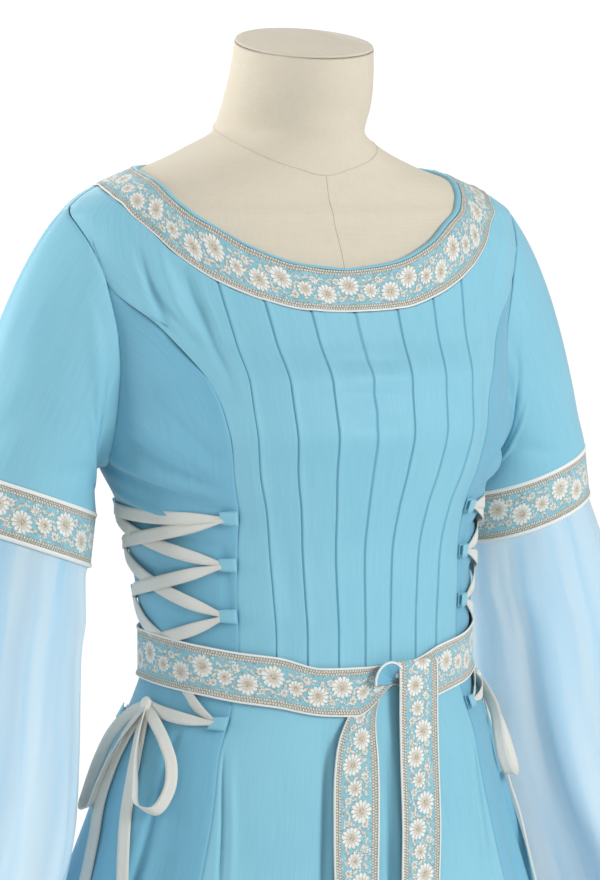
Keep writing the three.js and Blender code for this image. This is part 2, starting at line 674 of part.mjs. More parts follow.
bowKnot.translate(...onSide(BOW_KNOT.angle, BOW_KNOT.z, BOW_KNOT.out).toArray());

// ---- belt knot and hanging ties ----
const TIE_OUT = CLOTH + 0.6;
const TIE_WIDTH = 35;
const TIE_LEFT_X = 38.5;
const TIE_RIGHT_X = -15.5;
const TIE_ROWS = [1016, 990, 962, 920, 860, 770, 620];
const tieEdge = (z, mm) => {
  const half = along(SECTIONS, 'z', 'half', z);
  return THREE.MathUtils.radToDeg(Math.asin(mm / half));
};
const tiePlaces = (centre, rows) => rows.map((z) => [-1, -0.34, 0.34, 1].map((side) => ({
  angle: tieEdge(z, centre + side * TIE_WIDTH / 2), z,
})));
function tieWall(centre, rows, out) {
  const places = tiePlaces(centre, rows);
  const lay = (extra) => places.map((row, r) => row.map((p) => onFront(p.angle, p.z, out(r) + extra)));
  return wall(lay(1.4), lay(0));
}
const overBelt = (r) => (r < 2 ? 6.0 : r === 2 ? 4.0 : TIE_OUT);
const tieLeft = tieWall(TIE_LEFT_X, TIE_ROWS, overBelt);
const tieRight = tieWall(TIE_RIGHT_X, TIE_ROWS.slice(2), () => TIE_OUT);
const knotMiddle = cloth(5.3, 1000, CLOTH + 8.2);
const beltKnot = new THREE.SphereGeometry(10.5, 10, 6).scale(1.0, 0.45, 1.5);
beltKnot.translate(knotMiddle.x, knotMiddle.y, knotMiddle.z);

// ---- dress form and stand ----
const FORM_IN = [
  { z: 900, gap: 2.2 },
  { z: 1200, gap: 2.2 },
  { z: 1262, gap: 4.6 },
  { z: 1376, gap: 5.2 },
  { z: 1410, gap: 1.0 },
  { z: 1500, gap: 1.0 },
];
const FORM_COLUMNS = 36;
const FORM_BOTTOM = 925;
const FORM_TOP = 1484;
const ARM_PLATE = 171;
const TOP_RISE_BACK = 0.24;
const TOP_RISE_LEFT = 0.05;
const FORM_ROWS = [
  FORM_BOTTOM, 962, 1000, 1030, 1065, 1100, 1140, 1180, 1215, 1250, 1285, 1315, 1338, 1352,
  1362, 1372, 1382, 1392, 1403, 1418, 1450, FORM_TOP,
];
const formPoints = [];
FORM_ROWS.forEach((z) => {
  const tilt = THREE.MathUtils.smoothstep(z, 1400, FORM_TOP);
  for (let k = 0; k < FORM_COLUMNS; k += 1) {
    const p = raised(body, 360 * k / FORM_COLUMNS, z, -along(FORM_IN, 'z', 'gap', z));
    if (z < 1300) p.z = z;
    p.x = THREE.MathUtils.clamp(p.x, -ARM_PLATE, ARM_PLATE);
    p.z += tilt * (TOP_RISE_BACK * p.y + TOP_RISE_LEFT * p.x);
    formPoints.push(p);
  }
});
const formFaces = [];
for (let r = 0; r < FORM_ROWS.length - 1; r += 1) {
  for (let k = 0; k < FORM_COLUMNS; k += 1) {
    const next = (k + 1) % FORM_COLUMNS;
    const [a, b] = [r * FORM_COLUMNS + k, r * FORM_COLUMNS + next];
    const [c, d] = [b + FORM_COLUMNS, a + FORM_COLUMNS];
    formFaces.push(a, b, c, a, c, d);
  }
}
const topRow = (FORM_ROWS.length - 1) * FORM_COLUMNS;
for (let k = 1; k < FORM_COLUMNS - 1; k += 1) {
  formFaces.push(topRow, topRow + k, topRow + k + 1);
  formFaces.push(0, k + 1, k);
}
const dressForm = shape(formPoints, formFaces);

const BASE_PROFILE = [
  { radius: 0, z: 0 },
  { radius: BASE_RADIUS, z: 0 },
  { radius: BASE_RADIUS, z: 9 },
  { radius: BASE_RADIUS - 8, z: 16 },
  { radius: 30, z: 22 },
  { radius: 26, z: 34 },
  { radius: 0, z: 34 },
];
const standBase = new THREE.LatheGeometry(BASE_PROFILE.map((p) => new THREE.Vector2(p.radius, p.z)), 28);
standBase.rotateX(Math.PI / 2);
const poleLow = 34 + SEAM;
const poleHigh = FORM_BOTTOM - SEAM;
const standPole = new THREE.CylinderGeometry(POLE_RADIUS, POLE_RADIUS, poleHigh - poleLow, 20);
standPole.rotateX(Math.PI / 2);
standPole.translate(0, 0, (poleLow + poleHigh) / 2);

// ---- naming ----
const dress = new THREE.Group();
dress.name = 'medieval_dress';
const looks = {
  blue: { color: BLUE, roughness: 0.62 },
  sheer: { color: SHEER, roughness: 0.5 },
  ribbon: { color: RIBBON_IVORY, roughness: 0.8 },
  tape: { color: TAPE_IVORY, roughness: 0.75 },
  linen: { color: LINEN, roughness: 0.9 },
  metal: { color: DARK_METAL, roughness: 0.45, metalness: 0.6 },
};
function add(name, look, geometry) {
  const plain = new THREE.BufferGeometry();
  plain.setAttribute('position', geometry.getAttribute('position'));
  if (geometry.index) plain.setIndex(geometry.index);
  const welded = mergeVertices(plain, 1e-3);
  welded.computeVertexNormals();
  const mesh = new THREE.Mesh(welded, new THREE.MeshStandardMaterial({ ...looks[look], name: look }));
  mesh.name = name;
  dress.add(mesh);
}
function addBoth(name, look, leftGeometry) {
  add(`${name}_left`, look, leftGeometry);
  add(`${name}_right`, look, mirror(leftGeometry));
}

const neckCut = (places) => places.map((row, r) => (
  r < places.length - 1 ? row : row.map((p) => ({ ...p, z: p.z - SEAM / 2 }))
));
add('front_panel', 'blue', panel(neckCut(frontPlaces).map((row) => trimmed(row)), 0, CLOTH));
add('back_panel', 'blue', panel(neckCut(backPlaces).map((row) => trimmed(row)), 0, CLOTH));
addBoth('side_panel', 'blue', panel(sidePlaces.map((row) => trimmed(row)), 0, CLOTH));
add('neckline_ribbon', 'ribbon', panel([0.02, 0.35, 0.68, 0.94].map(neckRing), 0, RIBBON, true));
add('neckline_binding', 'blue', panel([0.97, 1.1].map(neckRing), 0.1, 1.5, true));
addBoth('upper_sleeve', 'blue', tube(sleeveGrid, CLOTH / 2));
addBoth('sleeve_ribbon', 'ribbon', tube(
  [0, CUFF_WIDTH / 2, CUFF_WIDTH].map((drop) => cuffRing(24, drop, CUFF_RADIUS)), RIBBON / 2,
));
addBoth('sheer_sleeve', 'sheer', tube(sheerGrid, 0.6));
add('belt', 'ribbon', panel([0, 0.5, 1].map(beltRing), CLOTH + 1.1, CLOTH + 2.6, true));
add('belt_knot', 'ribbon', beltKnot);
add('belt_tie_left', 'ribbon', tieLeft);
add('belt_tie_right', 'ribbon', tieRight);
addBoth('lacing', 'tape', lacing);
addBoth('lacing_bow', 'tape', joined(
  bowKnot, bowLoop(FRONT_BOW_LOOP), bowLoop(REAR_BOW_LOOP), bowEnd(FRONT_BOW_END), bowEnd(REAR_BOW_END),
  ...BOW_RUNS.map(laceRun),
));
for (const name of ['front', 'back']) {
  FRONT_LOOPS.forEach((_, k) => addBoth(`${name}_loop_${k + 1}`, 'blue', laceLoop(name, k)));
}
add('dress_form', 'linen', dressForm);
add('stand_pole', 'metal', standPole);
add('stand_base', 'metal', standBase);

export default dress;
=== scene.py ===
import math

import bmesh
import bpy
import numpy as np
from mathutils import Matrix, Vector


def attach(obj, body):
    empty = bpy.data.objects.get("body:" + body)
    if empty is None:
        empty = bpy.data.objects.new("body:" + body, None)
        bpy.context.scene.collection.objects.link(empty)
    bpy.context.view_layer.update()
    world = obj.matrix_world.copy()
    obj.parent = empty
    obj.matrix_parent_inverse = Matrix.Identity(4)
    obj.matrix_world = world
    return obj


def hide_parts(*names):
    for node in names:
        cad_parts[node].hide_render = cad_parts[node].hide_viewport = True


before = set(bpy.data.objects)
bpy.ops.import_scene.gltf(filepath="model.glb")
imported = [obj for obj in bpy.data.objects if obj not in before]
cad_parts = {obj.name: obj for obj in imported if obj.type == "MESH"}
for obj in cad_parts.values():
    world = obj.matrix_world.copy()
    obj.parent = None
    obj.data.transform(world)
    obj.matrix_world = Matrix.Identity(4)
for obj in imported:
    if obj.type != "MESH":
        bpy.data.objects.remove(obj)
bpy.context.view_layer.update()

MM = 0.001
CLOTH = 1.6          # outer face of the gown's cloth over the body
RIBBON_WIDTH = 38.0
TAPE_WIDTH = 10.0
HEM_Z = 25.0
SENSOR = 36.0        # width of the camera's sensor
VIEW_HEIGHT = 880    # pixels
TUCKS = (-30.0, -19.5, -9.0, 0.0, 9.0, 19.5, 30.0)


# ---- camera ----
def aim_camera(look_at, azimuth, elevation, distance, mm_per_pixel):
    turn, lift = math.radians(azimuth), math.radians(elevation)
    back = Vector((math.sin(turn) * math.cos(lift), -math.cos(turn) * math.cos(lift), math.sin(lift)))
    camera = bpy.data.objects.new("camera", bpy.data.cameras.new("camera"))
    camera.location = Vector(look_at) + back * distance
    camera.rotation_mode = "QUATERNION"
    camera.rotation_quaternion = (-back).to_track_quat("-Z", "Y")
    camera.data.sensor_width = SENSOR
    camera.data.lens = SENSOR * distance * 1000 / mm_per_pixel / VIEW_HEIGHT
    bpy.context.scene.collection.objects.link(camera)
    bpy.context.scene.camera = camera


aim_camera(look_at=(0, 0, 1.178), azimuth=-27, elevation=5, distance=2.3, mm_per_pixel=0.77)


# ---- the body and the cloth over it, in millimetres ----
def table(columns, *rows):
    return dict(zip(columns.split(), np.array(rows, float).T))


def bent(t, span, ends, slopes):
    """A smooth curve between two ends, a share t of the way along span, with a slope at each end."""
    s, c = t * t, t * t * t
    return (ends[0] * (2 * c - 3 * s + 1) + span * slopes[0] * (c - 2 * s + t)
            + ends[1] * (3 * s - 2 * c) + span * slopes[1] * (c - s))


def unit(rows):
    return rows / np.linalg.norm(rows, axis=-1, keepdims=True)


def far_along(line):
    """How far along line each of its points is."""
    return np.concatenate([[0], np.cumsum(np.linalg.norm(np.diff(line, axis=0), axis=1))])


def along(rows, key, name, at):
    """A smooth curve through the named columns of a table that never overshoots its rows."""
    x, y = rows[key], rows[name]
    span, at = np.diff(x), np.asarray(at, float)
    slope = np.diff(y) / span
    before, after = slope[:-1], slope[1:]
    same = before * after > 0
    bend = np.concatenate([
        slope[:1],
        np.where(same, 2 * before * after / np.where(same, before + after, 1), 0),
        slope[-1:],
    ])
    k = np.clip(np.searchsorted(x, at, side="right") - 1, 0, len(span) - 1)
    t = np.clip((at - x[k]) / span[k], 0, 1)
    return bent(t, span[k], (y[k], y[k + 1]), (bend[k], bend[k + 1]))


SECTIONS = table(
    "z half front back shift square",
    (0, 432, 392, 392, 0, 2.0),
    (200, 372, 326, 338, 0, 2.0),
    (450, 298, 236, 260, 0, 2.0),
    (700, 230, 155, 179, 0, 2.0),
    (840, 190, 118, 138, -1, 2.0),
    (900, 169, 112, 117, -3, 2.05),
    (955, 153, 104, 100, -6, 2.05),
    (985, 138, 99, 92, -9, 2.05),
    (1010, 131, 97, 88, -10, 2.05),
    (1040, 131, 97, 89, -10, 2.05),
    (1075, 134, 99, 92, -7, 2.08),
    (1105, 138, 104, 94, -2, 2.1),
    (1135, 145, 113, 95, 1, 2.15),
    (1165, 159, 124, 97, 4, 2.2),
    (1197, 167, 136, 101, 10, 2.22),
    (1228, 170, 136, 103, 16, 2.25),
    (1260, 175, 120, 103, 19, 2.3),
    (1300, 185, 99, 100, 17, 2.3),
    (1330, 190, 83, 94, 14, 2.25),
    (1350, 188, 71, 84, 14, 2.15),
    (1362, 176, 69, 73, 19, 2.1),
    (1375, 151, 72, 63, 26, 2.05),
    (1388, 114, 80, 48, 36, 2.0),
    (1402, 81, 82, 37, 38, 2.0),
    (1416, 59, 73, 42, 26, 2.0),
    (1436, 58, 57, 55, 6, 2.0),
    (1465, 55, 53, 56, -5, 2.0),
    (1500, 52, 49, 57, -11, 2.0),
)

SKIRT_FOLDS = table(
    "angle wide rise from",
    (-168, 7, 24, 960),
    (-150, 7, -22, 955),
    (-133, 7, 26, 965),
    (-117, 6, -26, 960),
    (-101, 6, 24, 955),
    (-86, 6, -26, 975),
    (-71, 6, 24, 960),
    (-57, 5, -24, 975),
    (-42, 6, 22, 940),
    (-22, 7, -16, 860),
    (-3, 8, 14, 800),
    (18, 7, -15, 870),
    (39, 6, 20, 930),
    (55, 5, -22, 970),
    (69, 6, 24, 955),
    (85, 6, -25, 975),
    (100, 6, 25, 960),
    (116, 6, -24, 955),
    (132, 7, 24, 965),
    (149, 7, -20, 960),
    (168, 7, 22, 955),
)

# Soft creases in the cloth, each a trough or ridge from one place to another: angle and height of its
# two ends, its half width and its rise in the middle. Both side panels take the rows with angles over 0.
CREASES = table(
    "angle z to_angle to_z wide rise",
    (-52, 1336, -49, 1262, 6, -3.8),
    (-46, 1342, -43, 1262, 6, 2.8),
    (-40, 1318, -34.5, 1222, 7, -3.8),
    (-36, 1306, -33, 1216, 5, 1.6),
    (-52, 1306, -40, 1252, 6, -2.6),
    (-60, 1296, -42, 1236, 9, 2.4),
    (96, 1168, 44, 1137, 5, -4.0),
    (90, 1176, 43, 1146, 5, 3.2),
    (78, 1190, 43, 1152, 5, -3.6),
    (68, 1206, 42, 1158, 5, 2.6),
    (60, 1224, 41, 1170, 6, -2.6),
    (100, 1150, 45, 1120, 5, 2.8),
    (104, 1132, 46, 1108, 5, -3.4),
    (100, 1112, 48, 1092, 6, 2.4),
    (98, 1094, 50, 1072, 6, -2.6),
    (96, 1072, 56, 1052, 6, 1.6),
    (52, 1334, 42, 1250, 8, -3.2),
    (46, 1326, 36, 1240, 7, 2.0),
    (38, 1268, 36, 1170, 5, -1.0),
    (-8, 1246, 8, 1243, 4, -1.1),
    (-8, 1234, 9, 1232, 4, 0.9),
    (-9, 1222, 9, 1219, 4, -1.1),
    (-8, 1209, 8, 1207, 4, 0.8),
    (-8, 1196, 8, 1196, 4, -0.9),
    (-12, 968, -12, 640, 3.0, -8.0),
    (6, 968, 4.5, 640, 3.0, -8.0),
    (-18, 1228, -9, 1224, 4, -0.5),
    (9, 1216, 18, 1214, 4, -0.5),
    (-26, 1120, -24, 1050, 6, -0.8),
    (24, 1112, 22, 1046, 6, -0.7),
    (-46, 1120, -47, 1046, 5, -1.6),
    (46, 1120, 47, 1046, 5, -1.4),
    (-43.5, 962, -36.5, 840, 1.5, -3.2),
    (-41, 962, -33, 830, 3.5, 1.6),
    (43.5, 962, 36.5, 840, 1.5, -3.2),
    (41, 962, 33, 830, 3.5, 1.6),
    (-52, 985, -57, 780, 5, 4.0),
    (-62, 985, -66, 760, 5, -5.0),
    (-74, 985, -77, 760, 5, -4.0),
    (62, 985, 66, 760, 5, -5.0),
    (130, 1230, 158, 1130, 9, -1.6),
    (-132, 1228, -160, 1136, 9, -1.6),
    (150, 1110, 205, 1104, 7, -1.3),
    (156, 1086, 198, 1092, 6, 1.1),
    (150, 1066, 208, 1062, 6, -1.4),
)


def fold_rise(angle, z):
    rise = np.zeros(np.broadcast(angle, z).shape)
    for at, wide, height, start in zip(*SKIRT_FOLDS.values()):
        away = (angle - at + 540) % 360 - 180
        drop = np.clip((start - z) / (start - HEM_Z), 0, 1)
        rise += height * np.exp(-((away / wide) ** 2)) * drop * (1.25 - 0.25 * drop)
    return rise


def crease_rise(angle, z):
    rise = np.zeros(np.broadcast(angle, z).shape)
    reach = along(SECTIONS, "z", "half", z) * math.pi / 180
    for a0, z0, a1, z1, wide, height in zip(*CREASES.values()):
        across, up = (angle - a0 + 540) % 360 - 180, z - z0
        half = float(along(SECTIONS, "z", "half", (z0 + z1) / 2))
        run = np.array([(a1 - a0) * half * math.pi / 180, z1 - z0])
        long = np.hypot(*run)
        share = (across * reach * run[0] + up * run[1]) / long ** 2
        off = (across * reach * run[1] - up * run[0]) / long
        ends = np.clip(1 - np.abs(2 * share - 1) ** 2.5, 0, 1)
        rise += height * np.exp(-((off / wide) ** 2)) * ends
    return rise


def tuck_rise(angle, z):
    """Each pin tuck is a narrow fold laid towards the wearer's right, and ends in a thin groove."""
    rise = np.zeros(np.broadcast(angle, z).shape)
    reach = np.maximum(along(SECTIONS, "z", "front", z), 60) * math.pi / 180
    fade = np.clip((z - 1008) / 12, 0, 1)
    for tuck in TUCKS:
        off = (angle - tuck) * reach
        swell = np.where(off > 0, np.exp(-((off / 2.6) ** 2)), np.exp(-((off / 0.35) ** 2)))
        groove = np.exp(-(((off + 0.75) / 0.4) ** 2))
        rise += fade * (0.8 * swell - 0.95 * groove)
    return rise


def body(angle, z, rise=0.0):
    turn = np.radians(angle)
    s, c = np.sin(turn), np.cos(turn)
    power = 2 / along(SECTIONS, "z", "square", z)
    depth = np.where(c > 0, along(SECTIONS, "z", "front", z), along(SECTIONS, "z", "back", z))
    x = (along(SECTIONS, "z", "half", z) + rise) * np.sign(s) * np.abs(s) ** power
    y = along(SECTIONS, "z", "shift", z) - (depth + rise) * np.sign(c) * np.abs(c) ** power
    return np.stack([x, y, z + 0 * x], -1)


def raised(at, angle, z, out):
    across = at(angle + 0.4, z) - at(angle - 0.4, z)
    up = at(angle, z + 1.0) - at(angle, z - 1.0)
    normal = unit(np.cross(across, up))
    return at(angle, z) + normal * np.asarray(out)[..., None]


def draped(angle, z):
    return body(angle, z, fold_rise(angle, z))


def cloth(angle, z, out=0.0):
    return raised(draped, angle, z, out + crease_rise(angle, z) + tuck_rise(angle, z))


# ---- shader maths ----
def feed(tree, slot, value):
    """Links value to a node's slot, or sets it there where it is a constant."""
    value = value.socket if isinstance(value, Shade) else value
    if isinstance(value, bpy.types.NodeSocket):
        tree.links.new(value, slot)
    elif isinstance(value, tuple) and slot.type == "RGBA":
        slot.default_value = (*value, 1.0)
    else:
        slot.default_value = value


def applies(operation, backwards=False):
    """A method of Shade that adds one Math node."""
    def method(self, *others):
        return (self.flipped if backwards else self.math)(operation, *others)
    return method


class Shade:
    """One socket in a material; arithmetic on it adds Math nodes."""

    def __init__(self, tree, socket):
        self.tree, self.socket = tree, socket

    def math(self, operation, *values):
        node = self.tree.nodes.new("ShaderNodeMath")
        node.operation = operation
        for slot, value in zip(node.inputs, (self, *values)):
            feed(self.tree, slot, value)
        return Shade(self.tree, node.outputs[0])

    def flipped(self, operation, other):
        node = self.tree.nodes.new("ShaderNodeMath")
        node.operation = operation
        node.inputs[0].default_value = other
        self.tree.links.new(self.socket, node.inputs[1])
        return Shade(self.tree, node.outputs[0])

    __add__, __radd__ = applies("ADD"), applies("ADD", True)
    __sub__, __rsub__ = applies("SUBTRACT"), applies("SUBTRACT", True)
    __mul__, __rmul__ = applies("MULTIPLY"), applies("MULTIPLY", True)
    __truediv__, __abs__ = applies("DIVIDE"), applies("ABSOLUTE")
    sin, cos, most = applies("SINE"), applies("COSINE"), applies("MAXIMUM")

    def waves(self, period):
        return (self * (2 * math.pi / period)).sin()

    def wrapped(self, span):
        return self.math("WRAP", span / 2, -span / 2)

    def step(self, low, high):
        """0 below low and 1 above high, smooth between; the other way round when low is over high."""
        node = self.tree.nodes.new("ShaderNodeMapRange")
        node.interpolation_type = "SMOOTHSTEP"
        self.tree.links.new(self.socket, node.inputs["Value"])
        node.inputs["From Min"].default_value, node.inputs["From Max"].default_value = sorted((low, high))
        node.inputs["To Min"].default_value = 0.0 if low < high else 1.0
        node.inputs["To Max"].default_value = 1.0 if low < high else 0.0
        return Shade(self.tree, node.outputs["Result"])


class Finish:
    """A material and its nodes."""

    def __init__(self, name, **shader):
        self.material = bpy.data.materials.new(name)
        self.material.use_nodes = True
        self.tree = self.material.node_tree
        self.shader = self.tree.nodes["Principled BSDF"]
        self.put(self.shader, **shader)

    def put(self, node, **values):
        for name, value in values.items():
            feed(self.tree, node.inputs[name.replace("_", " ")], value)

    def node(self, kind, settings=None, **values):
        made = self.tree.nodes.new("ShaderNode" + kind)
        for name, value in (settings or {}).items():
            setattr(made, name, value)
        self.put(made, **values)
        return made

    def place(self, which="Object", **mapping):
        found = self.node("TexCoord").outputs[which]
        return self.node("Mapping", Vector=found, **mapping).outputs[0] if mapping else found

    def along_across(self):
        """The two directions of the piece's own flat measure, in millimetres."""
        parts = self.node("SeparateXYZ", Vector=self.place("UV"))
        return Shade(self.tree, parts.outputs[0]), Shade(self.tree, parts.outputs[1])

    def noise(self, scale, detail=2.0, which="Object", **mapping):
        made = self.node("TexNoise", Vector=self.place(which, **mapping), Scale=scale, Detail=detail)
        return Shade(self.tree, made.outputs["Fac"])

    def blend(self, amount, low, high):
        made = self.tree.nodes.new("ShaderNodeMix")
        made.data_type = "RGBA"
        for slot, value in ((made.inputs[0], amount), (made.inputs[6], low), (made.inputs[7], high)):
            feed(self.tree, slot, value)
        return made.outputs[2]

    def bump(self, height, distance, strength=1.0):
        made = self.node("Bump", Height=height)
        made.inputs["Distance"].default_value = distance
        made.inputs["Strength"].default_value = strength
        self.put(self.shader, Normal=made.outputs[0])


BLUE = (0.262, 0.582, 0.715)
BLUE_DEEP = (0.222, 0.530, 0.672)
# painted shade: a darker blue for the side panels, standing for the shade under the arms
BLUE_PAINTED_SHADE = (0.158, 0.430, 0.580)
TAN = (0.50, 0.42, 0.30)


def blue_satin_finish(name, deep, light):
    f = Finish(name, Roughness=0.52, Sheen_Weight=0.25, Sheen_Roughness=0.4, Specular_IOR_Level=0.35)
    along_it, across = f.along_across()
    twill = (along_it + across).waves(0.9)
    slub = f.noise(7.0, detail=3.0)
    streak = f.noise(1.0, detail=2.0, which="UV", Scale=(0.9, 0.03, 1.0))
    tone = (slub * 0.55 + streak * 0.45).step(0.32, 0.68)
    f.put(f.shader, Base_Color=f.blend(tone, deep, light))
    f.put(f.shader, Roughness=0.46 + slub * 0.14)
    f.bump(twill * 0.35 + streak * 0.6 + slub, 0.0001, 0.5)
    return f


def sheer_finish():
    """Thin cloth: it lies doubled in long streaks, where it is deeper in colour and lets less through; the
    streaks' deeper colour is also painted shade of its folds, and a faint painted glow stands for light
    coming through it.
    """
    f = Finish("sheer_blue", Roughness=0.55, Sheen_Weight=0.4, Sheen_Roughness=0.35, Specular_IOR_Level=0.2)
    along_it, across = f.along_across()
    warp, weft = along_it.waves(0.7), across.waves(0.7)
    haze = f.noise(9.0, detail=2.0)
    streak = f.noise(1.0, detail=2.5, which="UV", Scale=(0.030, 0.0020, 1.0))
    # the streaks are partly doubled cloth and partly painted shade of the folds
    doubled_and_fold_shade = streak.step(0.38, 0.70)
    f.put(f.shader, Base_Color=f.blend(doubled_and_fold_shade, (0.56, 0.77, 0.88), (0.33, 0.62, 0.83)))
    f.put(f.shader, Alpha=0.46 + haze * 0.1 + doubled_and_fold_shade * 0.26)
    # painted light: a faint blue glow stands for light coming through the thin cloth
    f.put(f.shader, Emission_Color=f.blend(doubled_and_fold_shade, (0.60, 0.78, 0.88), (0.30, 0.58, 0.80)))
    f.shader.inputs["Emission Strength"].default_value = 0.03
    f.bump((warp + weft) * 0.3 + haze, 0.00008, 0.4)
    return f


class Motifs:
    """Flowers, leaves and bead rows of the ribbon, laid out in millimetres over one repeat."""

    REPEAT = 54.0

    def __init__(self, f):
        u, v = f.along_across()
        self.flat_u, self.flat_v = u, v
        stretch = (0.45, 0.45, 1.0)
        self.u = u + (f.noise(1.0, detail=1.0, which="UV", Scale=stretch) - 0.5) * 1.5
        self.v = v + (f.noise(1.0, detail=1.0, which="UV", Location=(40, 9, 0), Scale=stretch) - 0.5) * 1.5

    def from_point(self, u, v):
        return (self.u - u).wrapped(self.REPEAT), self.v - v

    def flower(self, u, v, radius, petals, turn=0.0):
        """Petals with fine gaps between them, the shade towards their feet, and the heart."""
        du, dv = self.from_point(u, v)
        far = (du * du + dv * dv).math("SQRT")
        ripple = abs((dv.math("ARCTAN2", du) * (petals / 2) + turn).cos())
        edge = (0.80 + ripple * 0.20) * radius
        petal = (edge - far).step(-0.2, 0.4)
        gap = ripple.step(0.02, 0.4).most(far.step(0.5 * radius, 0.3 * radius))
        foot = far.step(0.72 * radius, 0.28 * radius) * petal
        heart = far.step(0.34 * radius, 0.22 * radius)
        return petal * (gap * 0.6 + 0.4), foot, heart

    def leaf(self, u, v, long, wide, lean):
        du, dv = self.from_point(u, v)
        c, s = math.cos(lean), math.sin(lean)
        run, off = du * c + dv * s, dv * c - du * s
        taper = (1 - (run / long) * (run / long)).most(0.0)
        return (taper * wide - abs(off)).step(-0.15, 0.2)

    def most_of(self, shapes):
        whole = shapes[0]
        for shape in shapes[1:]:
            whole = whole.most(shape)
        return whole


def floral_ribbon_finish():
    f = Finish("floral_ribbon", Roughness=0.7, Sheen_Weight=0.2, Sheen_Roughness=0.4, Specular_IOR_Level=0.3)
    m = Motifs(f)
    flowers = [m.flower(*spot) for spot in (
        (8, 15.0, 8.4, 13, 0.0), (27, 22.8, 8.8, 13, 0.4), (44.5, 17.5, 6.4, 11, 0.2),
        (52.5, 26.2, 3.0, 7, 0.6), (17.5, 26.0, 3.2, 7, 0.3), (35.5, 12.0, 3.2, 7, 0.8),
        (19.0, 11.0, 2.6, 7, 0.1),
    )]
    petals, feet, hearts = (m.most_of([flower[k] for flower in flowers]) for k in range(3))
    leaves = m.most_of([m.leaf(*spot) for spot in (
        (1, 24.5, 3.2, 1.2, 0.9), (5, 27.2, 2.8, 1.1, 0.2), (11, 25.0, 3.2, 1.2, 2.2),
        (15, 21.0, 2.6, 1.0, 0.7),
        (17.5, 15.5, 2.8, 1.1, 1.9), (22.5, 13.0, 2.8, 1.1, 0.3), (27, 11.6, 2.8, 1.1, 2.7),
        (31.5, 10.2, 2.4, 1.0, 0.1), (36.5, 17.5, 2.8, 1.1, 1.2), (38.5, 21.8, 2.8, 1.1, 0.4),
        (40.5, 26.6, 3.2, 1.2, 2.6), (46, 27.0, 2.8, 1.1, 0.3), (49, 22.4, 2.6, 1.0, 2.2),
        (52, 18.5, 2.8, 1.1, 0.9), (51.5, 11.5, 3.0, 1.1, 2.5), (44, 10.2, 2.4, 1.0, 0.2),
        (0.5, 10.5, 2.4, 1.0, 0.9),
    )])
    crumb = f.node("TexVoronoi", {"feature": "F1"}, Vector=f.place("UV"), Scale=0.52, Randomness=0.9)
    pick = f.node("SeparateColor", Color=crumb.outputs["Color"])
    pick = [Shade(f.tree, out) for out in pick.outputs]
    stitch = Shade(f.tree, crumb.outputs["Distance"]).step(0.52, 0.34) * pick[0].step(0.42, 0.46)
    side = abs(m.flat_v - RIBBON_WIDTH / 2)
    inner = side.step(13.2, 12.8)
    outer_row = m.flat_u.waves(2.1)
    inner_row = (m.flat_u * (2 * math.pi / 2.1) + 2.6).sin()
    beads = (abs(side - 16.0).step(1.15, 0.65) * outer_row.step(-0.65, 0.1)).most(
        abs(side - 13.9).step(1.1, 0.6) * inner_row.step(-0.65, 0.1))
    trim = side.step(12.6, 13.0)
    cord = side.step(17.3, 17.6)
    ground = f.noise(60.0, detail=2.0)
    worn = f.noise(1.0, detail=2.0, which="UV", Scale=(0.8, 0.8, 1.0))
    colour = f.blend(ground, (0.22, 0.53, 0.64), (0.34, 0.63, 0.72))
    for share, tint in (
        (stitch * inner * 0.9, f.blend(pick[1].step(0.42, 0.5), (0.42, 0.38, 0.30), (0.84, 0.83, 0.76))),
        (leaves * inner, f.blend(worn.step(0.4, 0.6), (0.88, 0.87, 0.80), (0.55, 0.49, 0.38))),
        (petals, f.blend(worn.step(0.3, 0.6), (0.78, 0.75, 0.66), (0.94, 0.94, 0.90))),
        (feet * 0.55, TAN),
        (hearts * 0.8, f.blend(worn.step(0.42, 0.58), (0.34, 0.29, 0.20), (0.72, 0.66, 0.50))),
        (trim, f.blend(worn.step(0.4, 0.6), (0.30, 0.36, 0.34), (0.52, 0.50, 0.42))),
        (beads, f.blend(worn.step(0.35, 0.6), (0.66, 0.60, 0.49), (0.90, 0.88, 0.80))),
        (cord, (0.86, 0.87, 0.85)),
    ):
        colour = f.blend(share, colour, tint)
    f.put(f.shader, Base_Color=colour)
    thread = (m.flat_v.waves(0.8) + m.flat_u.waves(0.8)) * 0.06
    height = petals.most(leaves * inner * 0.7).most(beads).most(stitch * inner * 0.5)
    f.bump(height - hearts * 0.3 + thread + worn * 0.3, 0.0008, 1.0)
    return f


def lace_tape_finish():
    f = Finish("ivory_tape", Roughness=0.78, Sheen_Weight=0.2, Sheen_Roughness=0.4, Specular_IOR_Level=0.25)
    along_it, across = f.along_across()
    ribs = (abs(across - TAPE_WIDTH / 2) + along_it).waves(1.6)
    grime = f.noise(30.0, detail=3.0)
    edge = abs(across - TAPE_WIDTH / 2).step(4.2, 4.8)
    colour = f.blend(ribs.step(-0.6, 0.6), (0.74, 0.74, 0.67), (0.85, 0.86, 0.82))
    colour = f.blend(edge * 0.6, colour, (0.78, 0.78, 0.71))
    f.put(f.shader, Base_Color=f.blend(grime.step(0.4, 0.7) * 0.2, colour, (0.70, 0.69, 0.62)))
    f.bump(ribs * 0.6 + grime * 0.5, 0.00025, 0.8)
    return f


